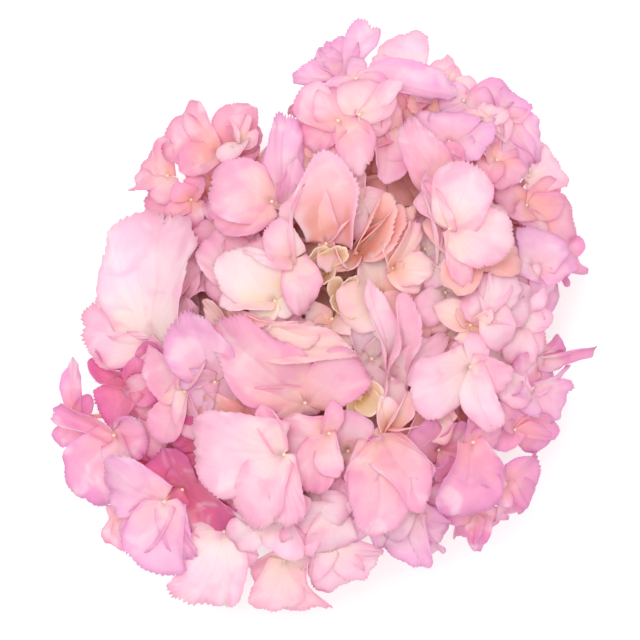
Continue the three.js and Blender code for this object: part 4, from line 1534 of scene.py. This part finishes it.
@dataclass
class FlowerHead:
    """The head: its plan, and the sepals, stalks and buds of each spray."""

    plan: HeadPlan = field(default_factory=HeadPlan)
    blades: BladeSet = field(default_factory=BladeSet)
    sepals: Sepals = field(default_factory=Sepals)
    stalks: Stalks = field(default_factory=Stalks)
    eyes: Eyes = field(default_factory=Eyes)

    def build(self) -> None:
        """Grow every spray."""
        core = Vector(self.plan.core) * MM
        florets = self.plan.florets()
        blades, bead = self.blades.collection(), self.eyes.bead()
        flesh, skin, wax = PetalFinish().material(), StalkFinish().material(), EyeFinish().material()
        sepal_tree, stalk_tree, eye_tree = self.sepals.tree(), self.stalks.tree(), self.eyes.tree()
        for spray in FORKS:
            own = [floret for floret in florets if floret.spray == spray]
            petals = grow(
                f"sepals_{spray}",
                self.sepals.seeds(f"sepal_seeds_{spray}", own, self.blades, core),
                sepal_tree,
                {
                    "Blades": blades,
                    "Ruffle": self.sepals.ruffle_mm * MM,
                    "Ruffle scale": 1 / (self.sepals.ruffle_grain_mm * MM),
                    "Lowest": self.sepals.lowest_mm * MM,
                    "Flesh": flesh,
                },
                self.sepals.thickness_mm * MM,
            )
            ride_and_report(petals, "sepals", f"spray_{spray}")
            tubes = grow(
                f"stalks_{spray}",
                self.stalks.seeds(f"stalk_seeds_{spray}", spray, own),
                stalk_tree,
                {"Sides": self.stalks.sides, "Skin": skin},
            )
            ride_and_report(tubes, "stalks", f"spray_{spray}")
            buds = grow(
                f"buds_{spray}",
                self.eyes.seeds(f"bud_seeds_{spray}", own, core),
                eye_tree,
                {"Bead": bead, "Wax": wax},
            )
            ride_and_report(buds, "young_florets", f"spray_{spray}")


# Floor, light and camera


@dataclass
class Studio:
    """A plain pale floor, broad soft light and a camera that looks straight down.

    Each lamp has a name, a place and a size in metres, and a power in watts.
    """

    lamps: tuple[tuple[str, Triple, float, float], ...] = (
        ("key", (-0.3, 0.4, 2.4), 0.9, 26.0),
        ("fill", (0.5, -0.4, 2.4), 1.6, 11.0),
    )
    sky_colour: Triple = (1.0, 0.985, 0.98)
    sky_strength: float = 0.885
    floor_colour: str = "#ffffff"
    backlight: float = 0.1
    floor_size: float = 6.0
    camera_height: float = 3.0
    head_height: float = 0.075
    view_width: float = 0.2148
    centre: tuple[float, float] = (-0.00101, -0.00134)
    sensor_mm: float = 36.0

    def floor(self) -> None:
        """Lay white paper, faintly lit from behind, just under the head."""
        mesh = bpy.data.meshes.new("floor")
        half = self.floor_size / 2
        corners = [(-half, -half, 0), (half, -half, 0), (half, half, 0), (-half, half, 0)]
        mesh.from_pydata(corners, [], [(0, 1, 2, 3)])
        floor = add_object("floor", mesh)
        # Matt white paper that glows a little, so that the shade under the head stays pale
        paper = bpy.data.materials.new("pale_paper")
        paper.use_nodes = True
        shader = paper.node_tree.nodes["Principled BSDF"]
        shader.inputs["Base Color"].default_value = (*srgb(self.floor_colour), 1)
        shader.inputs["Roughness"].default_value = 0.9
        shader.inputs["Emission Color"].default_value = (1, 1, 1, 1)
        shader.inputs["Emission Strength"].default_value = self.backlight
        mesh.materials.append(paper)

    def lights(self) -> None:
        """Hang one broad soft lamp from the upper left, a fill from the other side, and a pale sky."""
        for name, place, size, watts in self.lamps:
            lamp = bpy.data.lights.new(name, "AREA")
            lamp.shape = "DISK"
            lamp.size = size
            lamp.energy = watts
            holder = bpy.data.objects.new(name, lamp)
            holder.location = place
            holder.rotation_euler = (-Vector(place)).to_track_quat("-Z", "Y").to_euler()
            bpy.context.scene.collection.objects.link(holder)
        world = bpy.data.worlds.new("pale_sky")
        world.use_nodes = True
        sky = world.node_tree.nodes["Background"]
        sky.inputs["Color"].default_value = (*self.sky_colour, 1)
        sky.inputs["Strength"].default_value = self.sky_strength
        bpy.context.scene.world = world
        bpy.context.scene.view_settings.view_transform = "Standard"

    def camera(self) -> None:
        """Look straight down from far above, so that the head shows nearly without perspective."""
        lens = bpy.data.cameras.new("camera")
        lens.sensor_width = self.sensor_mm
        lens.lens = self.sensor_mm * (self.camera_height - self.head_height) / self.view_width
        lens.clip_end = 20.0
        holder = bpy.data.objects.new("camera", lens)
        holder.location = (*self.centre, self.camera_height)
        bpy.context.scene.collection.objects.link(holder)
        bpy.context.scene.camera = holder

    def build(self) -> None:
        """Set the floor, the lights and the camera."""
        self.floor()
        self.lights()
        self.camera()


def main() -> None:
    """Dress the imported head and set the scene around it."""
    logging.basicConfig(level=logging.INFO, format="%(name)s: %(message)s")
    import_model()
    Studio().build()
    Stem().build()
    FlowerHead().build()


if __name__ == "__main__":
    main()
